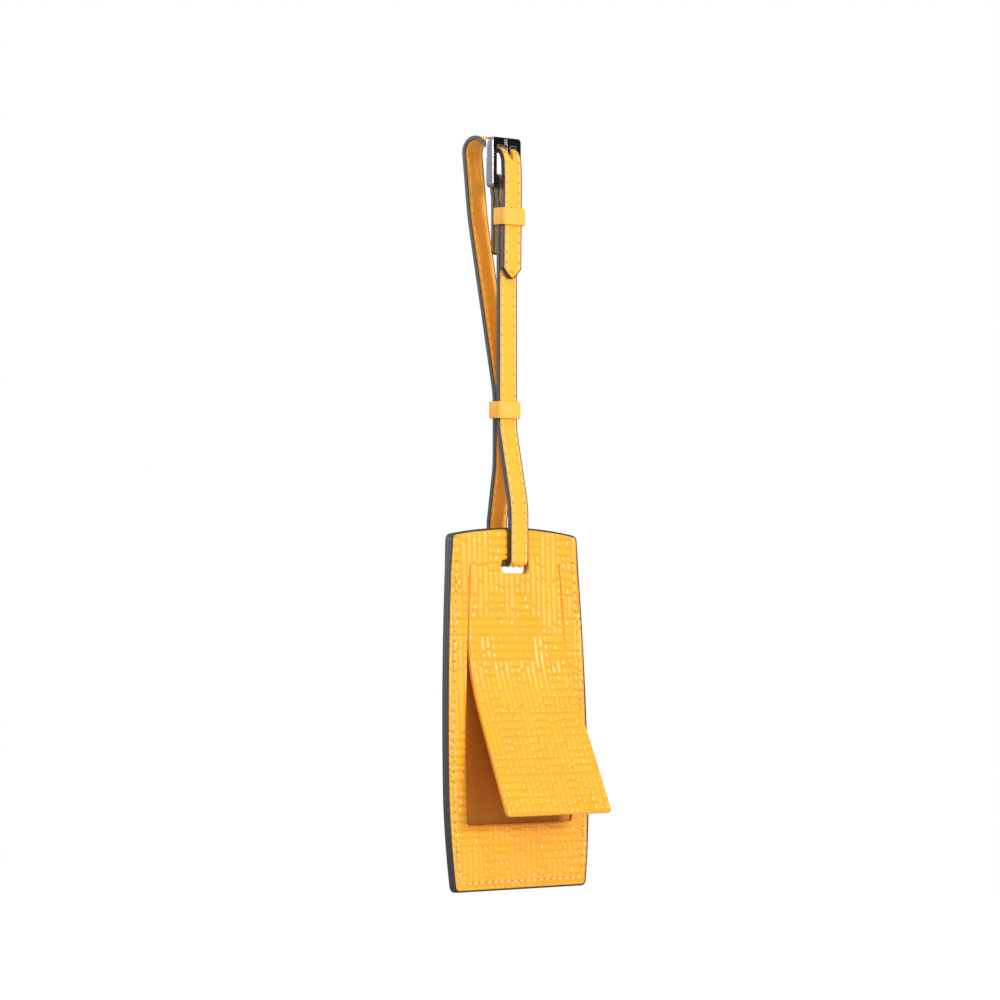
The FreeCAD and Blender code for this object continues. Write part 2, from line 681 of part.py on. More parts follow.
def keeper(name, back, front, drop):
    """A leather band round the strap; back and front are the inside faces as y."""
    body = new_body(name)
    half = S["strap_width"] / 2 + S["keeper_room"]
    wall = S["keeper_leather"]
    outer = new_sketch(body, name + "_outside", "XY_Plane")
    add_rounded_rectangle(outer, (-half - wall, front - wall), (half + wall, back + wall),
                          S["keeper_corner"])
    add_pad(body, name + "_pad", outer, S["keeper_height"], both=True)
    inner = new_sketch(body, name + "_inside", "XY_Plane")
    add_rounded_rectangle(inner, (-half, front), (half, back), S["keeper_corner"] / 4)
    add_pocket(body, name + "_bore", inner, S["keeper_height"], both=True)
    body.setExpression("Placement.Base.z", (-drop).text)
    DOC.recompute()
    return body


FRAME_HALF = S["strap_width"] / 2 + S["buckle_side_room"]
HEEL_Z = S["buckle_top"] - S["buckle_height"] + S["heel_rise"]
PIN_HALF = FRAME_HALF + S["heel_seat"]


def place_on_buckle(body):
    """Put a body's local origin on the heel bar's axis."""
    body.setExpression("Placement.Base.y", (-S["buckle_forward"]).text)
    body.setExpression("Placement.Base.z", HEEL_Z.text)
    DOC.recompute()


def add_bar_circle(sketch, radius):
    circle = sketch.addGeometry(Part.Circle(FreeCAD.Vector(0, 0, 0), ALONG_Z, radius.value), False)
    sketch.addConstraint(Sketcher.Constraint("Coincident", circle, 3, -1, 1))
    number = sketch.addConstraint(Sketcher.Constraint("Radius", circle, radius.value))
    sketch.setExpression("Constraints[%d]" % number, radius.text)


def buckle_frame():
    """Top bar and two side bars in one casting, with seats for the heel bar."""
    body = new_body("buckle_frame")
    outer_half = FRAME_HALF + S["side_bar_width"]
    top = S["buckle_top"] - HEEL_Z
    foot = -S["heel_rise"]
    outer = new_sketch(body, "frame_outside", "XZ_Plane")
    add_rounded_rectangle(outer, (-outer_half, foot), (outer_half, top), S["buckle_corner"])
    add_pad(body, "frame_pad", outer, S["buckle_depth"], both=True)
    opening = new_sketch(body, "frame_opening", "XZ_Plane")
    lintel = top - S["top_bar_height"]
    below = foot - S["side_bar_width"]
    points = [(-FRAME_HALF, below), (FRAME_HALF, below), (FRAME_HALF, lintel), (-FRAME_HALF, lintel)]
    add_outline(opening, points, {})
    cut = add_pocket(body, "frame_opening_cut", opening, S["buckle_depth"], both=True)
    half_depth = S["buckle_depth"].value / 2

    def on_rim(edge):
        middle = edge.CenterOfMass
        upright = lies_along(edge, ALONG_Z) and abs(middle.x) > outer_half.value - 0.01
        level = lies_along(edge, ALONG_X) and middle.z > lintel.value - 0.01
        return (upright or level) and abs(abs(middle.y) - half_depth) < 0.01

    round_edges(body, "frame_edges", cut, S["buckle_edge"], on_rim)
    seats = new_sketch(body, "heel_seats", "YZ_Plane")
    add_bar_circle(seats, S["heel_radius"])
    add_pocket(body, "heel_seat_cut", seats, PIN_HALF * 2, both=True)
    place_on_buckle(body)
    return body


def heel_bar():
    """The pin pressed into both side bars, which the strap's turned end and the prong turn on."""
    body = new_body("heel_bar")
    round_end = new_sketch(body, "heel_round", "YZ_Plane")
    add_bar_circle(round_end, S["heel_radius"])
    add_pad(body, "heel_pad", round_end, PIN_HALF * 2, both=True)
    place_on_buckle(body)
    return body


def prong():
    """The tongue: an eye on the heel bar and an arm that ends on the front of the top bar."""
    body = new_body("prong")
    bore = S["heel_radius"] + S["prong_bore_room"]
    eye = new_sketch(body, "prong_eye", "YZ_Plane")
    add_bar_circle(eye, bore + S["prong_wall"])
    add_pad(body, "prong_eye_pad", eye, S["prong_width"], both=True)
    arm = new_sketch(body, "prong_arm", "YZ_Plane")
    lintel = S["buckle_top"] - HEEL_Z - S["top_bar_height"]
    rest = -(S["buckle_depth"] / 2 + S["prong_gap"])
    tip = lintel + S["top_bar_height"] - S["buckle_edge"]
    elbow = lintel * 0.8
    points = [
        (-S["prong_wall"], S["heel_radius"]),
        (rest, elbow),
        (rest, tip),
        (rest - S["prong_thickness"] * 0.7, tip),
        (rest - S["prong_thickness"], elbow),
        (-bore - S["prong_wall"] * 0.8, S["heel_radius"] * 0.2),
    ]
    add_outline(arm, points, {})
    add_pad(body, "prong_arm_pad", arm, S["prong_width"] * 0.8, both=True)
    hole = new_sketch(body, "prong_bore", "YZ_Plane")
    add_bar_circle(hole, bore)
    add_pocket(body, "prong_bore_cut", hole, S["prong_width"], both=True)
    place_on_buckle(body)
    return body


# ---------------------------------------------------------------- build, check and write

def build():
    face = S["face_leather"]
    lining_at = face
    floor_at = face + S["lining_leather"]
    board_at = floor_at + S["card_gap"] + S["floor_leather"]
    back_at = board_at + S["board"]
    pieces = [
        tag_layer("front_panel", face, ZERO, window=True),
        tag_layer("front_lining", S["lining_leather"], lining_at, window=True),
        tag_layer("pocket_floor", S["floor_leather"] + S["card_gap"], floor_at, pocket=True),
        tag_layer("stiffener", S["board"], board_at),
        tag_layer("back_panel", face, back_at),
        tag_edge_coat(),
        tag_seam("tag_needle_thread", -S["seam_height"]),
        tag_seam("tag_bobbin_thread", TAG_THICKNESS),
        flap_layer("flap_panel", face, ZERO),
        flap_layer("flap_lining", S["lining_leather"], lining_at),
    ]
    strap, route = strap_pieces()
    pieces += strap
    half_thick = (S["strap_face"] + S["strap_lining"]) / 2
    room = half_thick + S["keeper_room"]
    front = as_size(route[FRONT_SHOULDER][0])
    tip = as_size((route[-2][0] + route[-1][0]) / 2)
    rear = front + S["strap_face"] + S["strap_lining"] + S["keeper_room"]
    pieces += [
        keeper("upper_keeper", front + half_thick + S["coat"] / 4, tip - room, S["upper_keeper_drop"]),
        keeper("lower_keeper", rear + room, front - room, S["lower_keeper_drop"]),
        buckle_frame(),
        heel_bar(),
        prong(),
    ]
    return pieces


def check_and_write(pieces):
    DOC.recompute()
    for item in DOC.Objects:
        if "Invalid" in item.State or "Error" in item.State:
            raise RuntimeError("%s failed to compute" % item.Label)
    os.makedirs("parts", exist_ok=True)
    for piece in pieces:
        shape = piece.Shape
        if shape.isNull() or not shape.isValid() or not shape.Solids:
            raise RuntimeError("%s has no valid solid" % piece.Label)
    for piece in pieces:
        piece.Shape.exportStep("parts/%s.step" % piece.Label)
        print("%-20s %d solid(s) %9.2f mm3" % (piece.Label, len(piece.Shape.Solids), piece.Shape.Volume))


check_and_write(build())
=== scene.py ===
# %% [markdown]
# # A leather luggage tag, built around its CAD frame
# The tag hangs from a buckled strap. Its embossed front has a window flap that is folded forward.
# Lengths below are in millimetres in the tag's own frame, and `MM` turns them into metres.

# %% Load the frame
import json
import math

import bmesh
import bpy
import numpy as np
from mathutils import Matrix, Vector


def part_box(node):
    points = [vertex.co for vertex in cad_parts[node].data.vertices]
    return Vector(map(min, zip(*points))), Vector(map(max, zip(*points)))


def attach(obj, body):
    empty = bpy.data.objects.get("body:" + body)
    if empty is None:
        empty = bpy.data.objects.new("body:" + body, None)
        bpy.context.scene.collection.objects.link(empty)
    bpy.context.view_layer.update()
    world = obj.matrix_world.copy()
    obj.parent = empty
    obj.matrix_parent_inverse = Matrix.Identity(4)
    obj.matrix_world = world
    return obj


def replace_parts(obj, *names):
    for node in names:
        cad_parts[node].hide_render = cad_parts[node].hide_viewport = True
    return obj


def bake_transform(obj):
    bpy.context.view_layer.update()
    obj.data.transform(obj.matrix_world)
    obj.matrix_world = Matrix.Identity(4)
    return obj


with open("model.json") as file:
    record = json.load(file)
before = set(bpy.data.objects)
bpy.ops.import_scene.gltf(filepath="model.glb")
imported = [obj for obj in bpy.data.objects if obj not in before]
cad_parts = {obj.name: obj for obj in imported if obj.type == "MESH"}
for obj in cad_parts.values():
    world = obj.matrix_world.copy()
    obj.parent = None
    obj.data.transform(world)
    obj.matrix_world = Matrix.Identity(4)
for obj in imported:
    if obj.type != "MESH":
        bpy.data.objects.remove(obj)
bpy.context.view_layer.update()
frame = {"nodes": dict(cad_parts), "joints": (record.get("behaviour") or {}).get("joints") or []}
MM = 0.001
joints = {joint["name"]: joint for joint in frame["joints"]}
pivot = Vector(joints["tag_swing"]["pos_m"])

# %% [markdown]
# ## Camera
# A long lens at the height of the card window, 49 degrees round to the left of the tag's front.
# It comes first so that every later cell can be looked at from the same place.

# %% Camera
CAMERA_PLACE = (-1.2121, -1.0607, -0.1604)
CAMERA_RIGHT = Vector((0.656, -0.755, 0)).normalized()
CAMERA_TILT = math.radians(1.52)
LENS, SENSOR_WIDTH, SIGHT = 177.5, 36, 20
back = Vector((CAMERA_RIGHT.y, -CAMERA_RIGHT.x, 0))
camera = bpy.data.objects.new("camera", bpy.data.cameras.new("camera"))
camera.data.lens = LENS
camera.data.sensor_width = SENSOR_WIDTH
camera.data.clip_end = SIGHT
turned = Matrix((CAMERA_RIGHT, (0, 0, 1), back)).transposed()
tilted = turned @ Matrix.Rotation(CAMERA_TILT, 3, "X")
camera.matrix_world = Matrix.Translation(CAMERA_PLACE) @ tilted.to_4x4()
bpy.context.scene.collection.objects.link(camera)
bpy.context.scene.camera = camera
bpy.context.scene.view_settings.view_transform = "Standard"
print("camera", CAMERA_PLACE)

# %% [markdown]
# ## Node helpers
# One function adds a node with its settings and links, and one turns an sRGB hex colour into linear.


# %% Node helpers
def colour(text):
    """Linear colour of an sRGB hex text such as 'F7C04A'."""
    parts = [int(text[i:i + 2], 16) / 255 for i in (0, 2, 4)]
    return [c / 12.92 if c <= 0.04045 else ((c + 0.055) / 1.055) ** 2.4 for c in parts] + [1.0]


def add(tree, kind, inputs=None, **settings):
    """Add a node. An input that is a socket is linked, and any other value is set."""
    node = tree.nodes.new(kind)
    for name, value in settings.items():
        setattr(node, name, value)
    for key, value in (inputs or {}).items():
        if isinstance(value, bpy.types.NodeSocket):
            tree.links.new(value, node.inputs[key])
        else:
            node.inputs[key].default_value = value
    return node


def new_material(name):
    """A material with an empty tree, its output node and object coordinates in metres."""
    material = bpy.data.materials.new(name)
    material.use_nodes = True
    tree = material.node_tree
    tree.nodes.clear()
    output = add(tree, "ShaderNodeOutputMaterial")
    place = add(tree, "ShaderNodeTexCoord").outputs["Object"]
    return material, tree, output, place


def noise(tree, place, size_mm, detail):
    """Noise whose features are about size_mm across."""
    node = add(tree, "ShaderNodeTexNoise", {"Vector": place, "Scale": 1 / (size_mm * MM), "Detail": detail})
    return node.outputs["Fac"]


def between(tree, value, low, high, start=0.0, end=1.0):
    """Map value from low..high onto start..end, clamped."""
    node = add(tree, "ShaderNodeMapRange",
               {"Value": value, "From Min": low, "From Max": high, "To Min": start, "To Max": end})
    return node.outputs["Result"]


def mix(tree, factor, first, second):
    """Colour that runs from first at factor 0 to second at factor 1."""
    node = add(tree, "ShaderNodeMix", data_type="RGBA")
    for socket, value in ((0, factor), (6, first), (7, second)):
        if isinstance(value, bpy.types.NodeSocket):
            tree.links.new(value, node.inputs[socket])
        else:
            node.inputs[socket].default_value = value
    return node.outputs[2]


# %% [markdown]
# ## Leather
# Dyed calf leather has an even colour with soft clouds, a fine pore grain, and a low satin sheen.
# The embossed pieces carry their own `relief` attribute, 0 in a groove and 1 on a bar, so the plate's
# polish on the bars and a painted shade that darkens the grooves follow the geometry exactly. `hole` is 1
# in an awl hole of the seam, which is darkened as painted shade. The pocket leather is darker as painted
# shade for the recess under the flap.


# %% Leather
CLOUD_SIZE = 14
PORES_PER_GRAIN = 2.2
GRAIN_DEPTH = 0.06
# Painted shade: the awl holes are darkened to this colour.
AWL_HOLE_PAINTED_SHADE = "9A5A14"


def leather(name, base, deep_tone_and_groove_shade, grain_mm=0.28, rough=0.5, grain=0.35, embossed=False, seamed=False):
    material, tree, output, place = new_material(name)
    clouds = noise(tree, place, CLOUD_SIZE, 3)
    fine = noise(tree, place, grain_mm, 4)
    pore_scale = 1 / (grain_mm * PORES_PER_GRAIN * MM)
    pores = add(tree, "ShaderNodeTexVoronoi", {"Vector": place, "Scale": pore_scale}).outputs["Distance"]
    tone = mix(tree, between(tree, clouds, 0.3, 0.7, 0.0, 0.22), colour(base), colour(deep_tone_and_groove_shade))
    tone = mix(tree, between(tree, fine, 0.35, 0.75, 0.0, 0.12), tone, colour(deep_tone_and_groove_shade))
    roughness = between(tree, fine, 0.3, 0.7, rough - 0.06, rough + 0.08)
    if embossed:
        relief = add(tree, "ShaderNodeAttribute", attribute_name="relief").outputs["Fac"]
        # Painted shade: the grooves are darkened towards the deep tone, as shade falls in them.
        tone = mix(tree, between(tree, relief, 0.0, 0.8, 0.45, 0.0), tone, colour(deep_tone_and_groove_shade))
        polish = between(tree, relief, 0.5, 1.0, 0.06, -0.05)
        roughness = add(tree, "ShaderNodeMath", {0: roughness, 1: polish}, operation="ADD").outputs[0]
    if seamed:
        hole = add(tree, "ShaderNodeAttribute", attribute_name="hole").outputs["Fac"]
        # Painted shade: the leather is darkened in the awl holes.
        tone = mix(tree, hole, tone, colour(AWL_HOLE_PAINTED_SHADE))
    height = mix(tree, 0.4, fine, pores)
    bump = add(tree, "ShaderNodeBump", {"Height": height, "Strength": grain, "Distance": GRAIN_DEPTH * MM})
    shader = add(tree, "ShaderNodeBsdfPrincipled", {
        "Base Color": tone, "Roughness": roughness, "Normal": bump.outputs[0], "Specular IOR Level": 0.38})
    tree.links.new(shader.outputs[0], output.inputs[0])
    return material


embossed_leather = leather(
    "embossed yellow calf leather", "FBB635", "E68A10", embossed=True, seamed=True, rough=0.26)
# The pocket floor's darker brown is painted shade for the recess under the flap.
pocket_painted_shade_leather = leather("pocket leather darkened by painted shade", "C47A1C", "A8620F", grain_mm=0.4, rough=0.6, grain=0.2)
strap_leather = leather(
    "smooth yellow strap leather", "FBB433", "F09A1E", grain_mm=0.32, rough=0.44, grain=0.25, seamed=True)
keeper_leather = leather(
    "matte yellow keeper leather", "FAB848", "EFA02C", grain_mm=0.36, rough=0.56, grain=0.3)
board = leather("bonded leather board", "8A5A30", "5C3A1C", grain_mm=0.5, rough=0.75, grain=0.6)
print("leathers made")

# %% [markdown]
# ## Edge paint, thread and black nickel
# Edge paint is brushed on in coats: nearly black, softly uneven and satin. The thread is waxed and
# twisted. The buckle is polished black nickel, which mirrors the studio and has faint wipe marks.


# %% Edge paint, thread and black nickel
BRUSH_DEPTH, FIBRE_DEPTH = 0.12, 0.08


def edge_paint():
    material, tree, output, place = new_material("black edge paint")
    uneven = noise(tree, place, 1.6, 3)
    fine = noise(tree, place, 0.25, 2)
    tone = mix(tree, uneven, colour("222327"), colour("323338"))
    bump = add(tree, "ShaderNodeBump", {
        "Height": mix(tree, 0.3, uneven, fine), "Strength": 0.5, "Distance": BRUSH_DEPTH * MM})
    satin = between(tree, uneven, 0.3, 0.7, 0.36, 0.5)
    shader = add(tree, "ShaderNodeBsdfPrincipled", {
        "Base Color": tone, "Roughness": satin, "Normal": bump.outputs[0]})
    tree.links.new(shader.outputs[0], output.inputs[0])
    return material


def waxed_thread():
    material, tree, output, place = new_material("waxed cream thread")
    fibre = noise(tree, place, 0.12, 2)
    tone = mix(tree, fibre, colour("FBDA92"), colour("EDBB5C"))
    bump = add(tree, "ShaderNodeBump", {"Height": fibre, "Strength": 0.6, "Distance": FIBRE_DEPTH * MM})
    shader = add(tree, "ShaderNodeBsdfPrincipled", {
        "Base Color": tone, "Roughness": 0.55, "Normal": bump.outputs[0], "Sheen Weight": 0.25})
    tree.links.new(shader.outputs[0], output.inputs[0])
    return material


def black_nickel():
    material, tree, output, place = new_material("polished black nickel")
    wipe = noise(tree, place, 2.5, 5)
    tone = mix(tree, wipe, colour("85848C"), colour("918F97"))
    shader = add(tree, "ShaderNodeBsdfPrincipled", {
        "Base Color": tone, "Metallic": 1.0, "Roughness": between(tree, wipe, 0.35, 0.7, 0.07, 0.13)})
    tree.links.new(shader.outputs[0], output.inputs[0])
    return material


paint = edge_paint()
thread = waxed_thread()
nickel = black_nickel()
FINISHES = {"pocket_floor": pocket_painted_shade_leather, "stiffener": board}
for node_name, material in FINISHES.items():
    frame["nodes"][node_name].data.materials.clear()
    frame["nodes"][node_name].data.materials.append(material)
print("finishes on", len(FINISHES), "frame pieces")

# %% [markdown]
# ## Studio
# A pale floor under the tag and four soft lights: the key from the front right, a weaker fill from
# the left, one from behind, and a small one above that draws thin glints on the embossed bars. The
# room is bright behind the left shoulder, which polished metal mirrors against the dark front right.

# %% Studio
ROOM_DARK_WAY, ROOM_LIGHT_WAY = (0.755, -0.656, 0.0), (0.45, -0.7, 0.55)
LIGHTS_AIM = Vector((0, -0.01, -0.13))
LIGHTS = (
    ("key", (0.35, -1.5, 0.2), 0.45, 16), ("fill", (-1.25, -0.95, 0.4), 0.6, 6),
    ("rear", (-0.9, 1.2, 0.4), 0.5, 12), ("glint", (-0.3, -0.7, 0.95), 0.12, 3),
)
FLOOR_LEVEL, FLOOR_RADIUS = -0.29, 1.6
FLOOR_SIDES = 96
PAPER_GLOW = 0.6
PAPER_FADE_START, PAPER_FADE_END = 0.45, 1.3

world = bpy.data.worlds.new("studio")
bpy.context.scene.world = world
world.use_nodes = True
tree = world.node_tree
tree.nodes.clear()
output = add(tree, "ShaderNodeOutputWorld")
rays = add(tree, "ShaderNodeLightPath")
heading = add(tree, "ShaderNodeTexCoord").outputs["Generated"]
to_dark = add(tree, "ShaderNodeVectorMath", {0: heading, 1: ROOM_DARK_WAY}, operation="DOT_PRODUCT")
mirror_tone = between(tree, to_dark.outputs["Value"], 0.35, 0.85, 1.0, 0.03)
to_light = add(tree, "ShaderNodeVectorMath", {0: heading, 1: ROOM_LIGHT_WAY}, operation="DOT_PRODUCT")
room_tone = between(tree, to_light.outputs["Value"], -0.3, 0.9, 0.05, 0.5)
fill = mix(tree, rays.outputs["Is Glossy Ray"], room_tone, mirror_tone)
seen = mix(tree, rays.outputs["Is Camera Ray"], fill, (1, 1, 1, 1))
background = add(tree, "ShaderNodeBackground", {"Color": seen, "Strength": 1.0})
tree.links.new(background.outputs[0], output.inputs[0])


def area_light(name, place, size, power):
    light = bpy.data.objects.new(name, bpy.data.lights.new(name, "AREA"))
    light.data.shape = "DISK"
    light.data.size = size
    light.data.energy = power
    light.location = place
    light.rotation_euler = (LIGHTS_AIM - Vector(place)).to_track_quat("-Z", "Y").to_euler()
    bpy.context.scene.collection.objects.link(light)


for light_name, light_place, light_size, light_power in LIGHTS:
    area_light(light_name, light_place, light_size, light_power)

floor_mesh = bpy.data.meshes.new("floor")
ring = [(FLOOR_RADIUS * math.cos(a), FLOOR_RADIUS * math.sin(a), FLOOR_LEVEL)
        for a in np.linspace(0, 2 * math.pi, FLOOR_SIDES + 1)[:-1]]
floor_mesh.from_pydata(ring, [], [list(range(len(ring)))])
floor = bpy.data.objects.new("floor", floor_mesh)
bpy.context.scene.collection.objects.link(floor)
material, tree, output, place = new_material("pale floor")
reach = add(tree, "ShaderNodeVectorMath", {0: place}, operation="LENGTH").outputs["Value"]
seen_only = add(tree, "ShaderNodeLightPath").outputs["Is Camera Ray"]
lit_paper = between(tree, seen_only, 0.0, 1.0, 0.0, PAPER_GLOW)
paper = add(tree, "ShaderNodeBsdfPrincipled", {
    "Base Color": colour("D8D8D8"), "Roughness": 0.8,
    "Emission Color": (1, 1, 1, 1), "Emission Strength": lit_paper})
glow = add(tree, "ShaderNodeEmission", {"Color": (1, 1, 1, 1), "Strength": 1.0})
far = between(tree, reach, PAPER_FADE_START, PAPER_FADE_END)
ground = add(tree, "ShaderNodeMixShader", {0: far, 1: paper.outputs[0], 2: glow.outputs[0]})
tree.links.new(ground.outputs[0], output.inputs[0])
floor.data.materials.append(material)
print("studio ready")

# %% [markdown]
# ## The tag's own frame
# A point is given by x across, level down from the top corners (negative), and n forward from the
# middle of the leather stack. The stack leans 1.5 degrees about the top of its slot.

# %% The tag's own frame
LEAN = math.radians(1.5)
PIVOT_LEVEL = -8.1
HALF_STACK = 1.55
PANEL = 1.15
BACK_LEATHER = 0.8
COAT = 0.2
TOP_HALF, WIDE_HALF, FOOT_HALF = 30.9, 34.85, 32.3
WIDE_LEVEL, FOOT_LEVEL = -85.0, -114.8
ARCH, SIDE_BOW, FOOT_BOW = 2.4, 1.0, 0.45
CORNER = 1.8
WINDOW_TOP, WINDOW_FOOT = -9.6, -93.5
WINDOW_TOP_HALF, WINDOW_FOOT_HALF, WINDOW_BOW = 22.15, 26.15, 0.9
WINDOW_CORNER = 1.5
CUT = 0.3
SLOT_LEVEL, SLOT_HALF_HEIGHT, SLOT_HALF_WIDTH, SLOT_CORNER = -10.3, 2.2, 6.8, 1.6
SEAM_INSET, SEAM_START = 2.8, -9.0


def to_row(x, n, level):
    """Rows of points in metres from the tag's own x, n and level."""
    up = level - PIVOT_LEVEL
    y = pivot.y / MM - n * math.cos(LEAN) + up * math.sin(LEAN)
    z = pivot.z / MM + n * math.sin(LEAN) + up * math.cos(LEAN)
    return np.stack(np.broadcast_arrays(x, y, z), -1) * MM


def rounded(a, b, radius):
    """Signed distance to a corner of two edges with signed distances a and b."""
    reach_a = np.maximum(a + radius, 0)
    reach_b = np.maximum(b + radius, 0)
    return np.minimum(np.maximum(a, b) + radius, 0) + np.hypot(reach_a, reach_b) - radius


def half_width(level):
    down = np.clip(level / WIDE_LEVEL, 0, None)
    low = np.clip((WIDE_LEVEL - level) / (WIDE_LEVEL - FOOT_LEVEL), 0, None)
    upper = TOP_HALF + (WIDE_HALF - TOP_HALF) * down + SIDE_BOW * 4 * down * (1 - down)
    lower = WIDE_HALF + (FOOT_HALF - WIDE_HALF) * low + FOOT_BOW * 4 * low * (1 - low)
    return np.where(level > WIDE_LEVEL, upper, lower)


def outline(x, level):
    """Signed distance to the tag's outer edge, negative inside."""
    top = level - ARCH * (1 - (x / TOP_HALF) ** 2)
    return rounded(np.abs(x) - half_width(level), np.maximum(top, FOOT_LEVEL - level), CORNER)


def window(x, level, inset=0.0):
    """Signed distance to the window's sides and foot, negative inside."""
    share = (level - WINDOW_TOP) / (WINDOW_FOOT - WINDOW_TOP)
    straight = WINDOW_TOP_HALF + (WINDOW_FOOT_HALF - WINDOW_TOP_HALF) * share
    half = straight + WINDOW_BOW * 4 * share * (1 - share)
    return rounded(np.abs(x) - half + inset, WINDOW_FOOT + inset - level, WINDOW_CORNER)


def slot(x, level):
    return rounded(np.abs(x) - SLOT_HALF_WIDTH, np.abs(level - SLOT_LEVEL) - SLOT_HALF_HEIGHT, SLOT_CORNER)


def smooth(value, low, high):
    t = np.clip((value - low) / (high - low), 0, 1)
    return t * t * (3 - 2 * t)


print("window from level", WINDOW_TOP, "to", WINDOW_FOOT)

# %% [markdown]
# ## The seam's stitches
# The seam runs down one side, along the foot and up the other, and starts below the strap's slot.
# Every stitch has an awl hole at each end, and the thread pulls the stack thinner along the edge.

# %% The seam's stitches
STITCH_PITCH = 3.2
PINCH_FADE = (3.0, 12.0)
PINCH_DEPTH, PINCH_REACH = 0.3, 4.2
SEAM_FURROW, FURROW_WIDTH = 0.1, 0.45
AWL_DEPTH, AWL_RADIUS, AWL_REACH = 0.3, 0.42, 1.5


def seam_path():
    """Points along the seam on the tag, at SEAM_INSET from the edge."""
    side = np.linspace(SEAM_START, FOOT_LEVEL + SEAM_INSET, 400)
    right = np.stack([half_width(side) - SEAM_INSET, side], 1)
    foot_x = np.linspace(right[-1, 0], -right[-1, 0], 260)[1:-1]
    foot = np.stack([foot_x, np.full_like(foot_x, FOOT_LEVEL + SEAM_INSET)], 1)
    left = right[::-1] * (-1, 1)
    return np.concatenate([right, foot, left])


def walk(path, pitch):
    """Even steps along a path: their middles, unit headings and ends."""
    steps = np.linalg.norm(np.diff(path, axis=0), axis=1)
    reach = np.concatenate([[0], np.cumsum(steps)])
    count = max(int(round(reach[-1] / pitch)), 1)
    marks = np.linspace(0, reach[-1], count + 1)
    ends = np.stack([np.interp(marks, reach, path[:, k]) for k in range(path.shape[1])], 1)
    heading = np.diff(ends, axis=0)
    return (ends[1:] + ends[:-1]) / 2, heading / np.linalg.norm(heading, axis=1)[:, None], ends


seam_middles, seam_headings, seam_holes = walk(seam_path(), STITCH_PITCH)
print("seam stitches", len(seam_middles))


def stitched(level):
    """1 along the stitched sides and foot, 0 along the open top."""
    return smooth(-level, *PINCH_FADE)


def edge_distance(x, level):
    """Distance in from the sides and foot, which the seam pinches."""
    return np.minimum(half_width(level) - np.abs(x), level - FOOT_LEVEL)


def pinch(x, level):
    """How much thinner the thread pulls each half of the stack."""
    inward = edge_distance(x, level)
    furrow = SEAM_FURROW * np.exp(-((inward - SEAM_INSET) / FURROW_WIDTH) ** 2)
    return stitched(level) * (PINCH_DEPTH * (1 - smooth(inward, 0.0, PINCH_REACH)) + furrow)


def hole_depth(x, level):
    """1 in the middle of an awl hole, falling to 0 around it."""
    found = np.zeros_like(x)
    for hole_x, hole_level in seam_holes:
        near = (np.abs(x - hole_x) < AWL_REACH) & (np.abs(level - hole_level) < AWL_REACH)
        reach = np.hypot(x[near] - hole_x, level[near] - hole_level)
        found[near] = np.maximum(found[near], np.exp(-(reach / AWL_RADIUS) ** 2))
    return found


# %% [markdown]
# ## The embossed pattern
# A heated plate presses the leather into short raised bars. Blocks of level bars alternate with
# blocks of upright ones, like parquet, and short nicks break some of the bars. The bars are real
# relief with soft shoulders.

# %% The embossed pattern
BAR_HEIGHT = 0.34
BLOCK = np.array([7.8, 5.2, 7.8, 5.2, 7.8, 7.8, 5.2])
SHOULDER_START, SHOULDER_END = 0.66, 0.12
BAR_PITCH = 2.6
NO_END = 9
BLOCK_ORIGIN_X, BLOCK_ORIGIN_LEVEL = 200.3, 201.5
SCATTER, EVEN_HAND = 43758.5453, 0.22
NICK_SCATTER, NICK_SHARE, NICK_TURN_SHARE = 4375.85, 0.35, 0.7
NICK_SLANT, NICK_START, NICK_END = 0.3, 0.1, 0.6
RELIEF_FADE = (0.1, 0.9)


def block(value):
    """Which block a value falls in, how far into it, and the block's size."""
    edges = np.concatenate([[0], np.cumsum(BLOCK)])
    turn = np.floor(value / edges[-1])
    left = value - turn * edges[-1]
    index = np.clip(np.searchsorted(edges, left, side="right") - 1, 0, len(BLOCK) - 1)
    return (index + turn * len(BLOCK)).astype(int), left - edges[index], BLOCK[index]


def shuffled(column, row):
    """A fixed, even-handed 0 or 1 for every block: 1 where its bars stand upright."""
    value = np.sin(column * 12.9898 + row * 78.233 + 4.1) * SCATTER
    return (np.mod(value, 1) + EVEN_HAND * np.where((column + row) % 2 == 0, 1, -1)) > 0.5


def bars(across, along, tall, wide, open_before, open_after, seed):
    """Height 0..1 of bars side by side in one direction. They run on into a like block."""
    pitch = tall / np.round(tall / BAR_PITCH)
    from_middle = np.abs(np.mod(across, pitch) - pitch / 2)
    side = 1 - smooth(from_middle, pitch / 2 - SHOULDER_START, pitch / 2 - SHOULDER_END)
    end = np.minimum(np.where(open_before, NO_END, along), np.where(open_after, NO_END, wide - along))
    number = np.floor(across / pitch)
    chance = np.mod(np.sin(seed * 3.7 + number * 9.1) * NICK_SCATTER, 1)
    place = wide * (0.3 + 0.4 * np.mod(chance * 7.3, 1))
    turned = np.where(chance > NICK_TURN_SHARE, NICK_SLANT, -NICK_SLANT)
    slant = (np.mod(across, pitch) - pitch / 2) * turned
    nick = np.where(chance > NICK_SHARE, smooth(np.abs(along - place - slant), NICK_START, NICK_END), 1)
    return side * nick * smooth(end, SHOULDER_END, SHOULDER_START)


def emboss(x, level):
    """Relief of the pattern, 0 in the grooves and 1 on the bars."""
    column, in_column, wide = block(x + BLOCK_ORIGIN_X)
    row, in_row, tall = block(BLOCK_ORIGIN_LEVEL - level)
    here = shuffled(column, row)
    lying = bars(in_row, in_column, tall, wide, ~shuffled(column - 1, row), ~shuffled(column + 1, row),
                 column * 5.0 + row)
    upright = bars(in_column, in_row, wide, tall, shuffled(column, row - 1), shuffled(column, row + 1),
                   column + row * 3.0)
    return np.where(here, upright, lying)


print("bars", BAR_HEIGHT, "mm high")

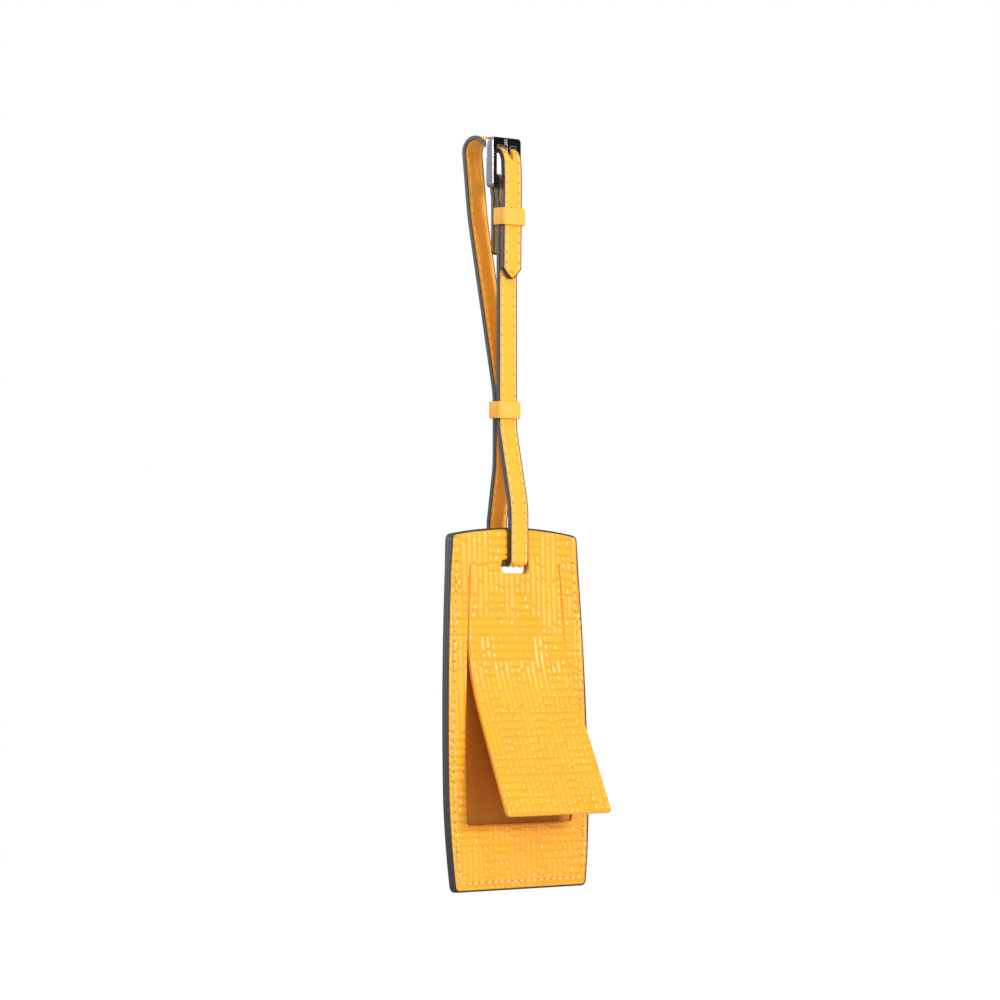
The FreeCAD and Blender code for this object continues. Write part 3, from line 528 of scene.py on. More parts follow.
# %% [markdown]
# ## Cutting a sheet of leather
# A sheet is a fine lattice of quads. Cells outside the cut are dropped, the points along the cut are
# drawn onto it, and a wall joins the outer face to the flesh side, so each sheet is one closed mesh.


# %% Cutting a sheet of leather
RIM_STEP, RIM_ROUNDS, LEAST_SLOPE = 0.02, 6, 0.2
ROLL_DEPTH, ROLL_WIDTH = 0.22, 0.5


def to_object(name, points, faces, material, attributes=None, creases=None):
    mesh = bpy.data.meshes.new(name)
    mesh.from_pydata(points.tolist(), [], faces.tolist() if isinstance(faces, np.ndarray) else faces)
    for key, values in (attributes or {}).items():
        layer = mesh.attributes.new(key, "FLOAT", "POINT")
        layer.data.foreach_set("value", np.asarray(values, np.float32))
    mesh.shade_smooth()
    if creases is not None:
        ends = np.empty(len(mesh.edges) * 2, np.int32)
        mesh.edges.foreach_get("vertices", ends)
        keys = np.sort(ends.reshape(-1, 2), axis=1).astype(np.int64) @ (len(points), 1)
        sharp = np.isin(keys, np.sort(creases, axis=1).astype(np.int64) @ (len(points), 1))
        mesh.attributes.new("sharp_edge", "BOOLEAN", "EDGE").data.foreach_set("value", sharp)
    mesh.materials.append(material)
    piece = bpy.data.objects.new(name, mesh)
    bpy.context.scene.collection.objects.link(piece)
    return piece


def lattice(pitch, half, top, foot, cut):
    """Points (x, level) and quads of a lattice trimmed to cut(x, level) < 0, and its rim edges."""
    columns = int(math.ceil(half / pitch))
    xs = np.arange(-columns, columns + 1) * pitch
    levels = np.arange(top, foot - pitch, -pitch)
    grid_x, grid_level = np.meshgrid(xs, levels)
    middle = cut(grid_x[:-1, :-1] + pitch / 2, grid_level[:-1, :-1] - pitch / 2)
    number = np.arange(grid_x.size).reshape(grid_x.shape)
    keep = middle < 0
    quads = np.stack([number[:-1, :-1], number[1:, :-1], number[1:, 1:], number[:-1, 1:]], -1)[keep]
    used, compact = np.unique(quads, return_inverse=True)
    quads = compact.reshape(-1, 4)
    x, level = grid_x.ravel()[used].copy(), grid_level.ravel()[used].copy()
    edges = np.concatenate([quads[:, [k, (k + 1) % 4]] for k in range(4)])
    span = len(x)
    forward = edges[:, 0].astype(np.int64) * span + edges[:, 1]
    backward = edges[:, 1].astype(np.int64) * span + edges[:, 0]
    rim = edges[~np.isin(forward, backward)]
    on_rim = np.unique(rim)
    step = RIM_STEP
    for _ in range(RIM_ROUNDS):
        px, pl = x[on_rim], level[on_rim]
        value = cut(px, pl)
        slope_x = (cut(px + step, pl) - cut(px - step, pl)) / (2 * step)
        slope_l = (cut(px, pl + step) - cut(px, pl - step)) / (2 * step)
        size = np.maximum(slope_x ** 2 + slope_l ** 2, LEAST_SLOPE)
        x[on_rim] -= value * slope_x / size
        level[on_rim] -= value * slope_l / size
    return x, level, quads, rim


def cut_sheet(name, pitch, half, top, foot, cut, outer, inner, attributes, front=True,
              material=embossed_leather):
    """A closed sheet: outer and inner give row points from x and level."""
    x, level, quads, rim = lattice(pitch, half, top, foot, cut)
    points = np.concatenate([outer(x, level), inner(x, level)])
    count = len(x)
    wall = np.stack([rim[:, 1], rim[:, 0], rim[:, 0] + count, rim[:, 1] + count], 1)
    faces = np.concatenate([quads, quads[:, ::-1] + count, wall])
    if not front:
        faces = faces[:, ::-1]
    values = {key: np.concatenate([make(x, level), np.zeros(count)]) for key, make in attributes.items()}
    print(name, len(faces) * 2, "triangles")
    creases = np.concatenate([rim, rim + count])
    return to_object(name, points, faces, material, values, creases)


def ring_piece(name, loops, material):
    """A closed ring swept from loops[around, across] of row points, with outward faces."""
    around, across = loops.shape[:2]
    first = np.arange(around)[:, None] * across + np.arange(across)[None, :]
    ahead = np.roll(first, -1, axis=0)
    faces = np.stack([first, ahead, np.roll(ahead, -1, axis=1), np.roll(first, -1, axis=1)], -1)
    faces = faces.reshape(-1, 4)
    piece = to_object(name, loops.reshape(-1, 3), faces, material)
    shell = bmesh.new()
    shell.from_mesh(piece.data)
    bmesh.ops.recalc_face_normals(shell, faces=shell.faces)
    shell.to_mesh(piece.data)
    shell.free()
    print(name, len(faces) * 2, "triangles")
    return piece


def trimmed_edge(distance):
    """The outer face rolls down over the last part of a millimetre before a cut edge."""
    return ROLL_DEPTH * np.clip(1 - distance / ROLL_WIDTH, 0, 1) ** 2


# %% [markdown]
# ## Front panel
# The frame round the window, one piece with the leather above the flap. The relief dies away at the
# cut edges, and the seam sinks into it.

# %% Front panel
FRONT_PITCH = 0.32
ROWS_ABOVE_WINDOW = 38


def front_cut(x, level):
    inside_window = np.maximum(window(x, level), level - WINDOW_TOP)
    return np.maximum(np.maximum(outline(x, level) + COAT, -inside_window), -slot(x, level))


def front_edge(x, level):
    """Distance in from the nearest cut edge. The top of the window has none."""
    edge = np.minimum(-(outline(x, level) + COAT), slot(x, level))
    return np.minimum(edge, np.where(level < WINDOW_TOP, window(x, level), NO_END))


def front_relief(x, level):
    return emboss(x, level) * smooth(front_edge(x, level), *RELIEF_FADE)


def front_face(x, level):
    edge = front_edge(x, level)
    n = HALF_STACK - pinch(x, level) - trimmed_edge(edge) - AWL_DEPTH * hole_depth(x, level)
    return to_row(x, n + BAR_HEIGHT * (front_relief(x, level) - 0.5), level)


front = cut_sheet("front_panel_leather", FRONT_PITCH, WIDE_HALF + 1,
                  WINDOW_TOP + FRONT_PITCH * ROWS_ABOVE_WINDOW, FOOT_LEVEL, front_cut, front_face,
                  lambda x, level: to_row(x, HALF_STACK - PANEL, level),
                  {"relief": front_relief, "hole": hole_depth})
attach(front, "tag")
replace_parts(front, "front_panel", "front_lining")

# %% [markdown]
# ## Window flap
# The flap is one piece with the panel above it. It leaves the tag nearly flat, bends over about
# 40 mm and then runs straight, so its grain, relief and thickness turn with the bend.

# %% Window flap
BEND_START, BEND_END, FLAP_LIFT = 12.0, 52.0, math.radians(19.6)
BLEND_START, BLEND_END = 26.0, 60.0
reach_down = np.linspace(0, 90, 1801)
bend_angle = FLAP_LIFT * smooth(reach_down, BEND_START, BEND_END)
step_down = reach_down[1]
lift = np.concatenate([[0], np.cumsum(np.sin(bend_angle[:-1]) * step_down)])
drop = np.concatenate([[0], np.cumsum(np.cos(bend_angle[:-1]) * step_down)])


def flap_point(x, level, n):
    """A point at depth n of the flap's stack, bent forward with it."""
    reach = WINDOW_TOP - level
    angle = np.interp(reach, reach_down, bend_angle)
    outward = n + 0 * x
    return to_row(x, np.interp(reach, reach_down, lift) + outward * np.cos(angle),
                  WINDOW_TOP - np.interp(reach, reach_down, drop) + (outward - HALF_STACK) * np.sin(angle))


def flap_cut(x, level):
    return np.maximum(window(x, level, CUT), -slot(x, level))


def flap_relief(x, level):
    return emboss(x, level) * smooth(-flap_cut(x, level), *RELIEF_FADE)


def flap_face(x, level):
    n = HALF_STACK - trimmed_edge(-flap_cut(x, level)) + BAR_HEIGHT * (flap_relief(x, level) - 0.5)
    return flap_point(x, level, n)


def flap_lattice_cut(x, level):
    return np.maximum(flap_cut(x, level), level - WINDOW_TOP)


flap = cut_sheet("window_flap_leather", FRONT_PITCH, WINDOW_FOOT_HALF + 2, WINDOW_TOP, WINDOW_FOOT,
                 flap_lattice_cut, flap_face, lambda x, level: flap_point(x, level, HALF_STACK - PANEL),
                 {"relief": flap_relief, "hole": lambda x, level: 0 * x})
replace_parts(flap, "flap_panel", "flap_lining")
blend_ends = to_row(np.zeros(2), HALF_STACK, WINDOW_TOP - np.array([BLEND_START, BLEND_END]))
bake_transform(flap)

# %% [markdown]
# ## Back panel
# The back has the same pattern all over, pinched by the same seam.

# %% Back panel
BACK_PITCH, BACK_SHIFT, ARCH_ROOM = 0.43, 1.3, 0.3


def back_cut(x, level):
    return np.maximum(outline(x, level) + COAT, -slot(x, level))


def back_relief(x, level):
    return emboss(x + BACK_SHIFT, level) * smooth(-back_cut(x, level), *RELIEF_FADE)


def back_face(x, level):
    n = HALF_STACK - pinch(x, level) - trimmed_edge(-back_cut(x, level)) - AWL_DEPTH * hole_depth(x, level)
    return to_row(x, -(n + BAR_HEIGHT * (back_relief(x, level) - 0.5)), level)


back_panel = cut_sheet("back_panel_leather", BACK_PITCH, WIDE_HALF + 1, ARCH + ARCH_ROOM, FOOT_LEVEL,
                       back_cut, back_face, lambda x, level: to_row(x, BACK_LEATHER - HALF_STACK, level),
                       {"relief": back_relief, "hole": hole_depth}, front=False)
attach(back_panel, "tag")
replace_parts(back_panel, "back_panel")

# %% [markdown]
# ## Painted edge
# The stack's edge is sanded round and painted. The paint laps a little onto both faces, and a faint
# line still shows where two layers meet.

# %% Painted edge
PAINT_LAP, PAINT_HEIGHT = 0.55, 0.06
PAINT_STEPS = 1500
HALVINGS = 40
PAINT_PINCH = 0.93
BEAD_SHARE = np.array([1.0, 1.0, 0.93, 0.78, 0.6, 0.42, 0.33, 0.24, 0.0])
BEAD_OUT = np.array([-PAINT_LAP, -0.32, -0.14, -0.04, 0.0, 0.0, -0.07, 0.0, 0.0])


def outline_loop():
    """Points of the outline and their outward directions, by rays from the tag's middle."""
    turn = np.linspace(0, 2 * math.pi, PAINT_STEPS, endpoint=False)
    way = np.stack([np.cos(turn), np.sin(turn)], 1)
    centre = np.array([0, FOOT_LEVEL / 2])
    low, high = np.full(PAINT_STEPS, 20.0), np.full(PAINT_STEPS, 90.0)
    for _ in range(HALVINGS):
        middle = (low + high) / 2
        spot = centre + way * middle[:, None]
        outside = outline(spot[:, 0], spot[:, 1]) > 0
        high = np.where(outside, middle, high)
        low = np.where(outside, low, middle)
    spot = centre + way * low[:, None]
    step = RIM_STEP
    out_x = outline(spot[:, 0] + step, spot[:, 1]) - outline(spot[:, 0] - step, spot[:, 1])
    out_l = outline(spot[:, 0], spot[:, 1] + step) - outline(spot[:, 0], spot[:, 1] - step)
    out = np.stack([out_x, out_l], 1)
    return spot, out / np.linalg.norm(out, axis=1)[:, None]


def paint_profile(half):
    """Outward offset and n of the bead for each half thickness, from front lap round to back lap."""
    share = np.concatenate([BEAD_SHARE, -BEAD_SHARE[-2::-1]])
    out = np.concatenate([BEAD_OUT, BEAD_OUT[-2::-1]])
    return out, half[:, None] * share[None, :]


loop_spot, loop_out = outline_loop()
loop_half = HALF_STACK + PAINT_HEIGHT - pinch(loop_spot[:, 0], loop_spot[:, 1]) * PAINT_PINCH
profile_out, profile_n = paint_profile(loop_half)
ring_x = loop_spot[:, :1] + loop_out[:, :1] * profile_out
ring_level = loop_spot[:, 1:] + loop_out[:, 1:] * profile_out
edge = ring_piece("tag_painted_edge", to_row(ring_x, profile_n, ring_level), paint)
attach(edge, "tag")
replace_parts(edge, "tag_edge_coat")

# %% [markdown]
# ## Stitches
# A Geometry Nodes tree bows one length of thread, and sets it on every mark of a seam with the turn
# that the mark carries. The tree is applied, so each row of stitches is a plain mesh.


# %% Stitches
THREAD_WIDTH = 0.5
BURIED, BOWED = -0.9, 1.9
TAG_STITCH_GAP, TAG_STITCH_RISE, TAG_STITCH_SUNK, TAG_STITCH_SLANT = 0.75, 0.26, 0.02, 4


def times(tree, value, factor):
    return add(tree, "ShaderNodeMath", {0: value, 1: factor}, operation="MULTIPLY").outputs[0]


def stitch_tree():
    tree = bpy.data.node_groups.new("stitches", "GeometryNodeTree")
    sockets = (("Marks", "NodeSocketGeometry"), ("Length", "NodeSocketFloat"), ("Rise", "NodeSocketFloat"),
               ("Thread", "NodeSocketFloat"), ("Material", "NodeSocketMaterial"))
    for name, kind in sockets:
        tree.interface.new_socket(name, in_out="INPUT", socket_type=kind)
    tree.interface.new_socket("Stitches", in_out="OUTPUT", socket_type="NodeSocketGeometry")
    given = add(tree, "NodeGroupInput").outputs
    sink = times(tree, given["Rise"], BURIED)
    start = add(tree, "ShaderNodeCombineXYZ", {0: times(tree, given["Length"], -0.5), 2: sink}).outputs[0]
    middle = add(tree, "ShaderNodeCombineXYZ", {2: times(tree, given["Rise"], BOWED)}).outputs[0]
    end = add(tree, "ShaderNodeCombineXYZ", {0: times(tree, given["Length"], 0.5), 2: sink}).outputs[0]
    bow = add(tree, "GeometryNodeCurveQuadraticBezier",
              {"Resolution": 8, "Start": start, "Middle": middle, "End": end}).outputs[0]
    thickness = add(tree, "GeometryNodeCurvePrimitiveCircle",
                    {"Resolution": 8, "Radius": given["Thread"]}).outputs[0]
    one = add(tree, "GeometryNodeCurveToMesh",
              {"Curve": bow, "Profile Curve": thickness, "Fill Caps": True}).outputs[0]
    turn = add(tree, "GeometryNodeInputNamedAttribute", {"Name": "turn"}, data_type="FLOAT_VECTOR")
    rotation = add(tree, "FunctionNodeEulerToRotation", {0: turn.outputs["Attribute"]}).outputs[0]
    placed = add(tree, "GeometryNodeInstanceOnPoints",
                 {"Points": given["Marks"], "Instance": one, "Rotation": rotation}).outputs[0]
    real = add(tree, "GeometryNodeRealizeInstances", {"Geometry": placed}).outputs[0]
    painted = add(tree, "GeometryNodeSetMaterial",
                  {"Geometry": real, "Material": given["Material"]}).outputs[0]
    output = add(tree, "NodeGroupOutput")
    tree.links.new(painted, output.inputs[0])
    return tree


STITCHES = stitch_tree()


def stitch_row(name, places, headings, normals, length_mm, rise_mm):
    """One mesh of stitches from row points in metres, their headings and their outward normals."""
    mesh = bpy.data.meshes.new(name + "_marks")
    mesh.from_pydata([tuple(p) for p in places], [], [])
    turns = []
    for heading, normal in zip(headings, normals):
        z = Vector(normal).normalized()
        x = Vector(heading)
        x = (x - z * x.dot(z)).normalized()
        turns += list(Matrix((x, z.cross(x), z)).transposed().to_euler())
    turn_layer = mesh.attributes.new("turn", "FLOAT_VECTOR", "POINT")
    turn_layer.data.foreach_set("vector", np.asarray(turns, np.float32))
    marks = bpy.data.objects.new(name + "_marks", mesh)
    bpy.context.scene.collection.objects.link(marks)
    modifier = marks.modifiers.new("stitches", "NODES")
    modifier.node_group = STITCHES
    values = {"Length": length_mm * MM, "Rise": rise_mm * MM, "Thread": THREAD_WIDTH * MM / 2,
              "Material": thread}
    for item in STITCHES.interface.items_tree:
        if item.in_out == "INPUT" and item.name in values:
            modifier[item.identifier] = values[item.name]
    marks.update_tag()
    bpy.context.view_layer.update()
    ready = marks.evaluated_get(bpy.context.evaluated_depsgraph_get())
    plain = bpy.data.meshes.new_from_object(ready)
    plain.name = name
    plain.shade_smooth()
    piece = bpy.data.objects.new(name, plain)
    bpy.context.scene.collection.objects.link(piece)
    bpy.data.objects.remove(marks)
    print(name, len(places), "stitches", len(plain.polygons), "faces")
    return piece


def slanted(headings, degrees):
    """Headings turned by a few degrees, as stitches lie across their seam."""
    c, s = math.cos(math.radians(degrees)), math.sin(math.radians(degrees))
    return np.stack([headings[:, 0] * c - headings[:, 1] * s, headings[:, 0] * s + headings[:, 1] * c], 1)


def tag_stitches(name, side):
    n = side * (HALF_STACK - pinch(seam_middles[:, 0], seam_middles[:, 1]) - TAG_STITCH_SUNK)
    places = to_row(seam_middles[:, 0], n, seam_middles[:, 1])
    lines = slanted(seam_headings, TAG_STITCH_SLANT * side)
    ahead = to_row(lines[:, 0], 0, lines[:, 1]) - to_row(np.zeros(len(lines)), 0, np.zeros(len(lines)))
    outward = (to_row(0, 1.0, 0) - to_row(0, 0, 0)) * side
    piece = stitch_row(name, places, ahead, [outward] * len(places), STITCH_PITCH - TAG_STITCH_GAP,
                       TAG_STITCH_RISE)
    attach(piece, "tag")
    return piece


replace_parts(tag_stitches("tag_front_stitches", 1), "tag_needle_thread")
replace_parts(tag_stitches("tag_back_stitches", -1), "tag_bobbin_thread")

# %% [markdown]
# ## The strap
# One long strip, leather on both sides. Its end turns round the heel bar, the strip runs down to the
# tag, through the slot, up round the loop, under the buckle's top bar and down to a pointed tip.
# A point on it is given by x across, reach along its middle line, and depth out from the middle.

# %% The strap's line
ROUTE = [
    (-8.1, -38.0, 0), (-8.1, -21.75, 5.0), (-8.05, -19.05, 2.5), (-7.03, -13.415, 1.87),
    (-9.236, -12.083, 1.87), (-11.267, -13.67, 1.87), (-9.7, -18.75, 2.5), (-10.45, -21.35, 3.0),
    (-10.45, -94.5, 20.0), (-15.35, -120.0, 40.0), (-15.35, -138.8, 1.3), (-10.25, -138.8, 1.3),
    (-5.85, -127.0, 10.0), (-8.75, -106.6, 40.0), (-8.75, -83.4, 30.0), (2.2, -25.5, 80.0),
    (4.669, -2.461, 4.5), (2.411, 0.417, 4.5), (-1.215, 0.903, 4.5), (-7.95, -4.1, 4.0),
    (-11.25, -4.2, 1.5), (-12.35, -6.9, 5.0), (-12.62, -13.05, 12.0), (-12.27, -46.0, 0),
]
STRAP_HALF, STRAP_THICK_HALF, STRAP_SEAM = 4.4, 0.7, 3.0
TIP_LENGTH, TIP_BLUNTNESS = 3.4, 0.75
END_CORNER = 1.0
LINE_STEP, EVEN_OVER = 0.1, 9


def rounded_route(corners, spacing=0.2):
    """Points (y, z) of the route with its corners rounded."""
    points = [np.array(corners[0][:2])]
    for before, corner, after in zip(corners, corners[1:], corners[2:]):
        here = np.array(corner[:2])
        way_in = (here - before[:2]) / np.linalg.norm(here - before[:2])
        way_out = (after[:2] - here) / np.linalg.norm(after[:2] - here)
        turn = math.acos(np.clip(way_in @ way_out, -1, 1))
        if turn < 1e-4:
            continue
        start = here - way_in * corner[2] * math.tan(turn / 2)
        side = way_out - way_in * (way_in @ way_out)
        side /= np.linalg.norm(side)
        for angle in np.linspace(0, turn, max(int(corner[2] * turn / spacing), 2) + 1):
            points.append(start + corner[2] * (way_in * math.sin(angle) + side * (1 - math.cos(angle))))
    return np.array(points + [np.array(corners[-1][:2])])


rough_line = rounded_route(ROUTE)
rough_reach = np.concatenate([[0], np.cumsum(np.linalg.norm(np.diff(rough_line, axis=0), axis=1))])
STRAP_LENGTH = rough_reach[-1]
line_reach = np.linspace(0, STRAP_LENGTH, int(STRAP_LENGTH / LINE_STEP))
line = np.stack([np.interp(line_reach, rough_reach, rough_line[:, k]) for k in (0, 1)], 1)
line_way = np.unwrap(np.arctan2(np.gradient(line[:, 1]), np.gradient(line[:, 0])))
line_way = np.pad(line_way, EVEN_OVER // 2, mode="edge")
line_way = np.convolve(line_way, np.full(EVEN_OVER, 1 / EVEN_OVER), mode="valid")


def on_strap(x, reach, depth):
    """Row points in metres of the strap: depth is outward, to the right of its run."""
    way = np.interp(reach, line_reach, line_way)
    y = np.interp(reach, line_reach, line[:, 0]) + depth * np.sin(way)
    z = np.interp(reach, line_reach, line[:, 1]) - depth * np.cos(way)
    return np.stack(np.broadcast_arrays(x, y, z), -1) * MM


def reach_where(keep):
    """First and last reach at which the line's points pass keep(y, z)."""
    found = line_reach[keep(line[:, 0], line[:, 1])]
    return found[0], found[-1]


heel_run = line_reach < 40
SLIT = reach_where(lambda y, z: (z > -16.5) & heel_run)
HOLE = reach_where(lambda y, z: (z > -7.25) & (y < -9.8) & (line_reach > 250))
print("strap", round(STRAP_LENGTH, 1), "mm, slit", SLIT, "hole", HOLE)

# %% [markdown]
# ## The strap's leather
# The tip is a soft point. The prong pulls its hole into a narrow V just under the top bar, and a slit
# in the turned end lets the prong's eye sit on the heel bar.


# %% The strap's leather
STRAP_PITCH = 0.38
TIP_SLOPE = 1.3
HOLE_LEVELS, HOLE_HALVES = (-7.25, -6.35, -4.95), (0.31, 0.9, 1.25)
SLIT_HALF = 1.25
STRAP_STITCH_PITCH, OUTER_START, OUTER_STOP = 3.25, 2.0, 2.2
STRAP_FURROW, STRAP_FURROW_WIDTH, STRAP_AWL_DEPTH, STRAP_AWL_RADIUS = 0.06, 0.5, 0.22, 0.4
STRAP_ROLL = 0.8


def tip_half(left):
    return STRAP_HALF * np.clip(left / TIP_LENGTH, 0, 1) ** TIP_BLUNTNESS


def strap_outline(x, level, inset):
    reach = -level
    half = np.minimum(STRAP_HALF - inset, tip_half(STRAP_LENGTH - reach - inset * TIP_SLOPE))
    return rounded(np.abs(x) - half, inset - reach, END_CORNER)


def prong_hole(x, level):
    reach = -level
    z = np.interp(reach, line_reach, line[:, 1])
    half = np.interp(z, HOLE_LEVELS, HOLE_HALVES)
    hole = np.maximum(np.abs(x) - half, np.maximum(HOLE[0] - reach, reach - HOLE[1]))
    slit = np.maximum(np.abs(x) - SLIT_HALF, np.maximum(SLIT[0] - reach, reach - SLIT[1]))
    return np.minimum(hole, slit)


def strap_cut(x, level):
    return np.maximum(strap_outline(x, level, COAT), -prong_hole(x, level))


def seam_half(reach):
    """How far the stitch rows run from the middle: they follow the sides and close at the tip."""
    return np.minimum(STRAP_SEAM, np.maximum(tip_half(STRAP_LENGTH - reach - 1.5) - 0.9, 0.0))


def strap_row(start, end):
    """Middles and ends of stitches between two reaches."""
    marks = np.linspace(start, end, int(round((end - start) / STRAP_STITCH_PITCH)) + 1)
    return (marks[1:] + marks[:-1]) / 2, marks


OUTER_ROW = strap_row(OUTER_START, STRAP_LENGTH - OUTER_STOP)
thread_run = reach_where(lambda y, z: (z < -24) & (z > -125.5) & (line_reach < 160))
loop_run = reach_where(lambda y, z: (z > -126) & (y > -6.5) & (line_reach > 150))
INNER_ROWS = [strap_row(*thread_run), strap_row(*loop_run)]


def strap_sink(x, level, rows):
    """How far the leather is pressed in along the stitch rows and at their awl holes."""
    reach = -level
    off = np.abs(np.abs(x) - seam_half(reach))
    sink = STRAP_FURROW * np.exp(-(off / STRAP_FURROW_WIDTH) ** 2)
    holes = np.zeros_like(x)
    for _, marks in rows:
        away = np.abs(reach[:, None] - marks[None, :]).min(axis=1)
        holes = np.maximum(holes, np.exp(-(np.hypot(away, off) / STRAP_AWL_RADIUS) ** 2))
    return sink + STRAP_AWL_DEPTH * holes, holes


def strap_depth(x, level, rows):
    """Height of a face over the strap's middle, with its rolled edges and stitch rows."""
    rolled = trimmed_edge(-strap_cut(x, level)) * STRAP_ROLL
    return STRAP_THICK_HALF - rolled - strap_sink(x, level, rows)[0]


def strap_outer(x, level):
    return on_strap(x, -level, strap_depth(x, level, [OUTER_ROW]))


def strap_inner(x, level):
    return on_strap(x, -level, -strap_depth(x, level, INNER_ROWS))


strap = cut_sheet("strap_leather", STRAP_PITCH, STRAP_HALF + 0.5, 0.0, -STRAP_LENGTH, strap_cut,
                  strap_outer, strap_inner, {"hole": lambda x, level: strap_sink(x, level, [OUTER_ROW])[1]},
                  material=strap_leather)
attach(strap, "strap")
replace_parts(strap, "strap_face", "strap_lining")

# %% [markdown]
# ## The strap's painted edge
# Paint runs down both edges and round the tip, and laps a little onto both faces.

# %% The strap's painted edge
STRAP_BEAD_OUT = np.array([-0.42, -0.26, -0.1, -0.02, 0.0, -0.04, 0.0, -0.02, -0.1, -0.26, -0.42])
STRAP_BEAD_DEPTH = np.array([0.7, 0.73, 0.68, 0.52, 0.3, 0.0, -0.3, -0.52, -0.68, -0.73, -0.7])
TIP_CROWDING = 1.4
down_side = np.linspace(END_CORNER, STRAP_LENGTH - TIP_LENGTH, 620)
right_side = np.stack([np.full_like(down_side, STRAP_HALF), down_side], 1)
left_over = TIP_LENGTH * np.linspace(1, 0, 30)[1:] ** TIP_CROWDING
right_tip = np.stack([tip_half(left_over), STRAP_LENGTH - left_over], 1)
end_turn = np.linspace(0, math.pi / 2, 7)[:-1]
right_end = np.stack([STRAP_HALF - END_CORNER + np.sin(end_turn), END_CORNER - np.cos(end_turn)], 1)
right_all = np.concatenate([right_end, right_side, right_tip])
strap_loop = np.concatenate([right_all, (right_all[::-1] * (-1, 1))[1:]])
way = np.roll(strap_loop, -1, axis=0) - np.roll(strap_loop, 1, axis=0)
way /= np.linalg.norm(way, axis=1)[:, None]
strap_out = np.stack([way[:, 1], -way[:, 0]], 1)
bead_depth = np.broadcast_to(STRAP_BEAD_DEPTH, (len(strap_loop), STRAP_BEAD_DEPTH.size))
strap_edge = ring_piece("strap_painted_edge", on_strap(
    strap_loop[:, :1] + strap_out[:, :1] * STRAP_BEAD_OUT,
    strap_loop[:, 1:] + strap_out[:, 1:] * STRAP_BEAD_OUT, bead_depth), paint)
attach(strap_edge, "strap")
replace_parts(strap_edge, "strap_edge_coat")

# %% [markdown]
# ## The strap's stitches
# Two rows of slightly slanted stitches follow the strap on both faces and close in at the tip.


# %% The strap's stitches
STRAP_STITCH_LENGTH, STRAP_STITCH_RISE, STRAP_STITCH_SUNK = 2.6, 0.2, 0.09
LOOK_AHEAD, SLANT_ASIDE = 0.5, 0.05


def strap_stitches(name, rows, side):
    places, ahead, normals = [], [], []
    depth = side * (STRAP_THICK_HALF - STRAP_STITCH_SUNK)
    for middles, _ in rows:
        for hand in (-1, 1):
            x = hand * seam_half(middles)
            spot = on_strap(x, middles, depth)
            later_x = hand * seam_half(middles + LOOK_AHEAD) + SLANT_ASIDE * side
            later = on_strap(later_x, middles + LOOK_AHEAD, depth)
            outward = on_strap(x, middles, side * (STRAP_THICK_HALF + 1)) - spot
            places += list(spot)
            ahead += list(later - spot)
            normals += list(outward)
    piece = stitch_row(name, places, ahead, normals, STRAP_STITCH_LENGTH, STRAP_STITCH_RISE)
    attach(piece, "strap")
    return piece


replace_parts(strap_stitches("strap_outer_stitches", [OUTER_ROW], 1), "strap_needle_thread")
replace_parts(strap_stitches("strap_inner_stitches", INNER_ROWS, -1), "strap_bobbin_thread")

# %% [markdown]
# ## Keepers
# Each keeper is a short band of leather bent round the strap, with soft corners and dressed edges.


# %% Keepers
KEEPER_CORNER, KEEPER_LEATHER, KEEPER_SOFT, KEEPER_CROWN = 1.4, 0.78, 0.22, 0.05


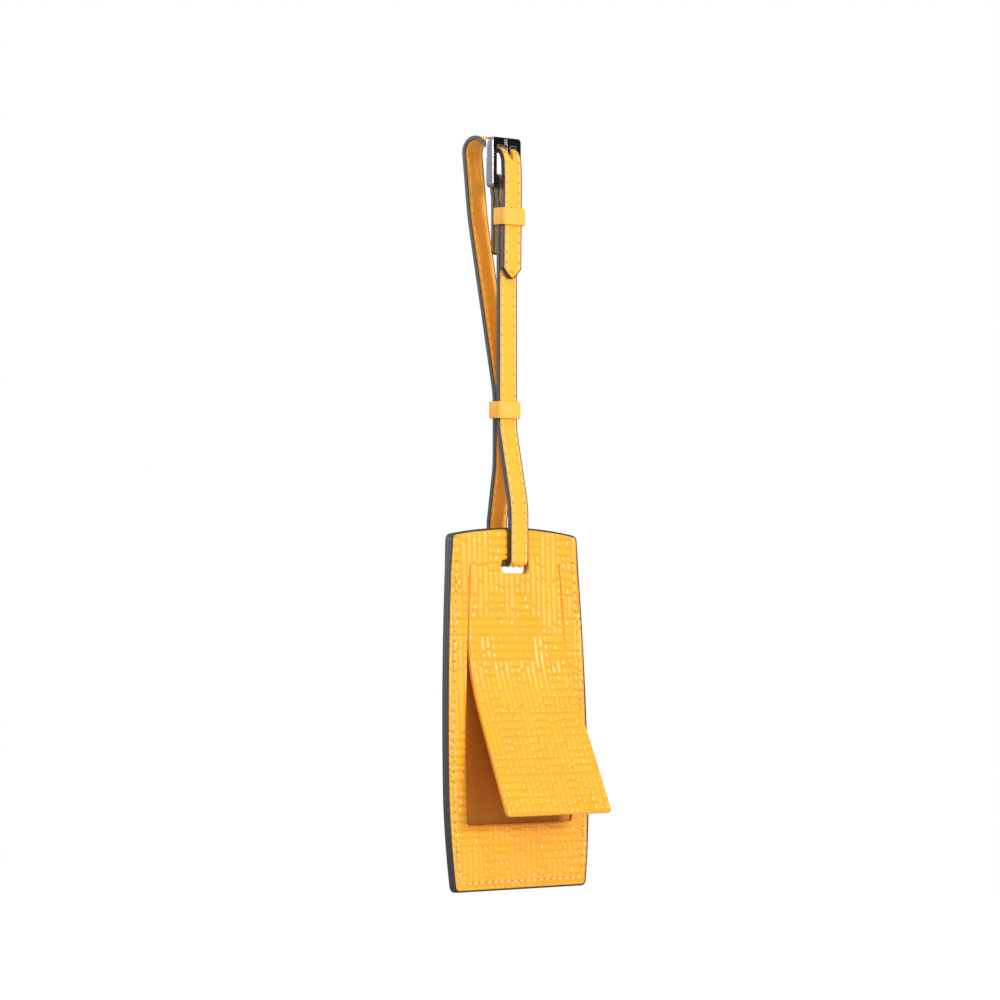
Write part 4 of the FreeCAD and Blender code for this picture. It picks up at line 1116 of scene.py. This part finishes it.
def keeper(node, body):
    low, high = (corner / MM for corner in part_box(node))
    corner, thick, soft = KEEPER_CORNER, KEEPER_LEATHER, KEEPER_SOFT
    middle = (low + high) / 2
    half_x, half_y = (high.x - low.x) / 2 - corner, (high.y - low.y) / 2 - corner
    half_z = (high.z - low.z) / 2
    loops = []
    for sign_x, sign_y, start in ((1, 1, 0.0), (-1, 1, 0.5), (-1, -1, 1.0), (1, -1, 1.5)):
        for turn in np.linspace(start, start + 0.5, 13) * math.pi:
            loops.append((sign_x * half_x, sign_y * half_y, math.cos(turn), math.sin(turn)))
    path = np.array(loops)
    out = np.array([-soft, -thick + soft, -thick + soft * 0.3, -thick, -thick, -thick + soft * 0.3,
                    -thick + soft, -soft, -soft * 0.3, 0, KEEPER_CROWN, 0, -soft * 0.3])
    rise = np.array([1, 1, 0.97, 0.9, -0.9, -0.97, -1, -1, -0.97, -0.9, 0, 0.9, 0.97]) * half_z
    across = middle.x + path[:, :1] + path[:, 2:3] * (corner + out)
    along = middle.y + path[:, 1:2] + path[:, 3:4] * (corner + out)
    points = np.stack(np.broadcast_arrays(across, along, middle.z + rise), -1) * MM
    piece = ring_piece(node + "_leather", points, keeper_leather)
    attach(piece, body)
    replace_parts(piece, node)


keeper("upper_keeper", "strap")
keeper("lower_keeper", "keeper")

# %% [markdown]
# ## Buckle
# The frame, bar and prong are cast, tumbled and polished, so every edge is broken with a small round
# that catches a line of light.


# %% Buckle
FLAT_ANGLE, EDGE_ANGLE, SMOOTH_ANGLE = math.radians(1), math.radians(50), math.radians(32)
MELD = 1e-6


def softened(node, body, radius_mm):
    """The metal piece with its sharp edges broken by a small round."""
    mesh = frame["nodes"][node].data.copy()
    mesh.materials.clear()
    mesh.materials.append(nickel)
    shell = bmesh.new()
    shell.from_mesh(mesh)
    bmesh.ops.remove_doubles(shell, verts=shell.verts, dist=MELD)
    bmesh.ops.dissolve_limit(shell, angle_limit=FLAT_ANGLE, verts=shell.verts, edges=shell.edges)
    sharp = [e for e in shell.edges if len(e.link_faces) == 2 and e.calc_face_angle() > EDGE_ANGLE]
    bmesh.ops.bevel(shell, geom=sharp, offset=radius_mm * MM, segments=3, profile=0.5, affect="EDGES",
                    clamp_overlap=True)
    bmesh.ops.triangulate(shell, faces=shell.faces)
    shell.to_mesh(mesh)
    shell.free()
    mesh.shade_smooth()
    mesh.set_sharp_from_angle(angle=SMOOTH_ANGLE)
    piece = bpy.data.objects.new(node + "_polished", mesh)
    bpy.context.scene.collection.objects.link(piece)
    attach(piece, body)
    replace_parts(piece, node)
    print(piece.name, len(mesh.polygons), "triangles")


softened("buckle_frame", "buckle", 0.28)
softened("heel_bar", "buckle", 0.15)
softened("prong", "prong", 0.14)
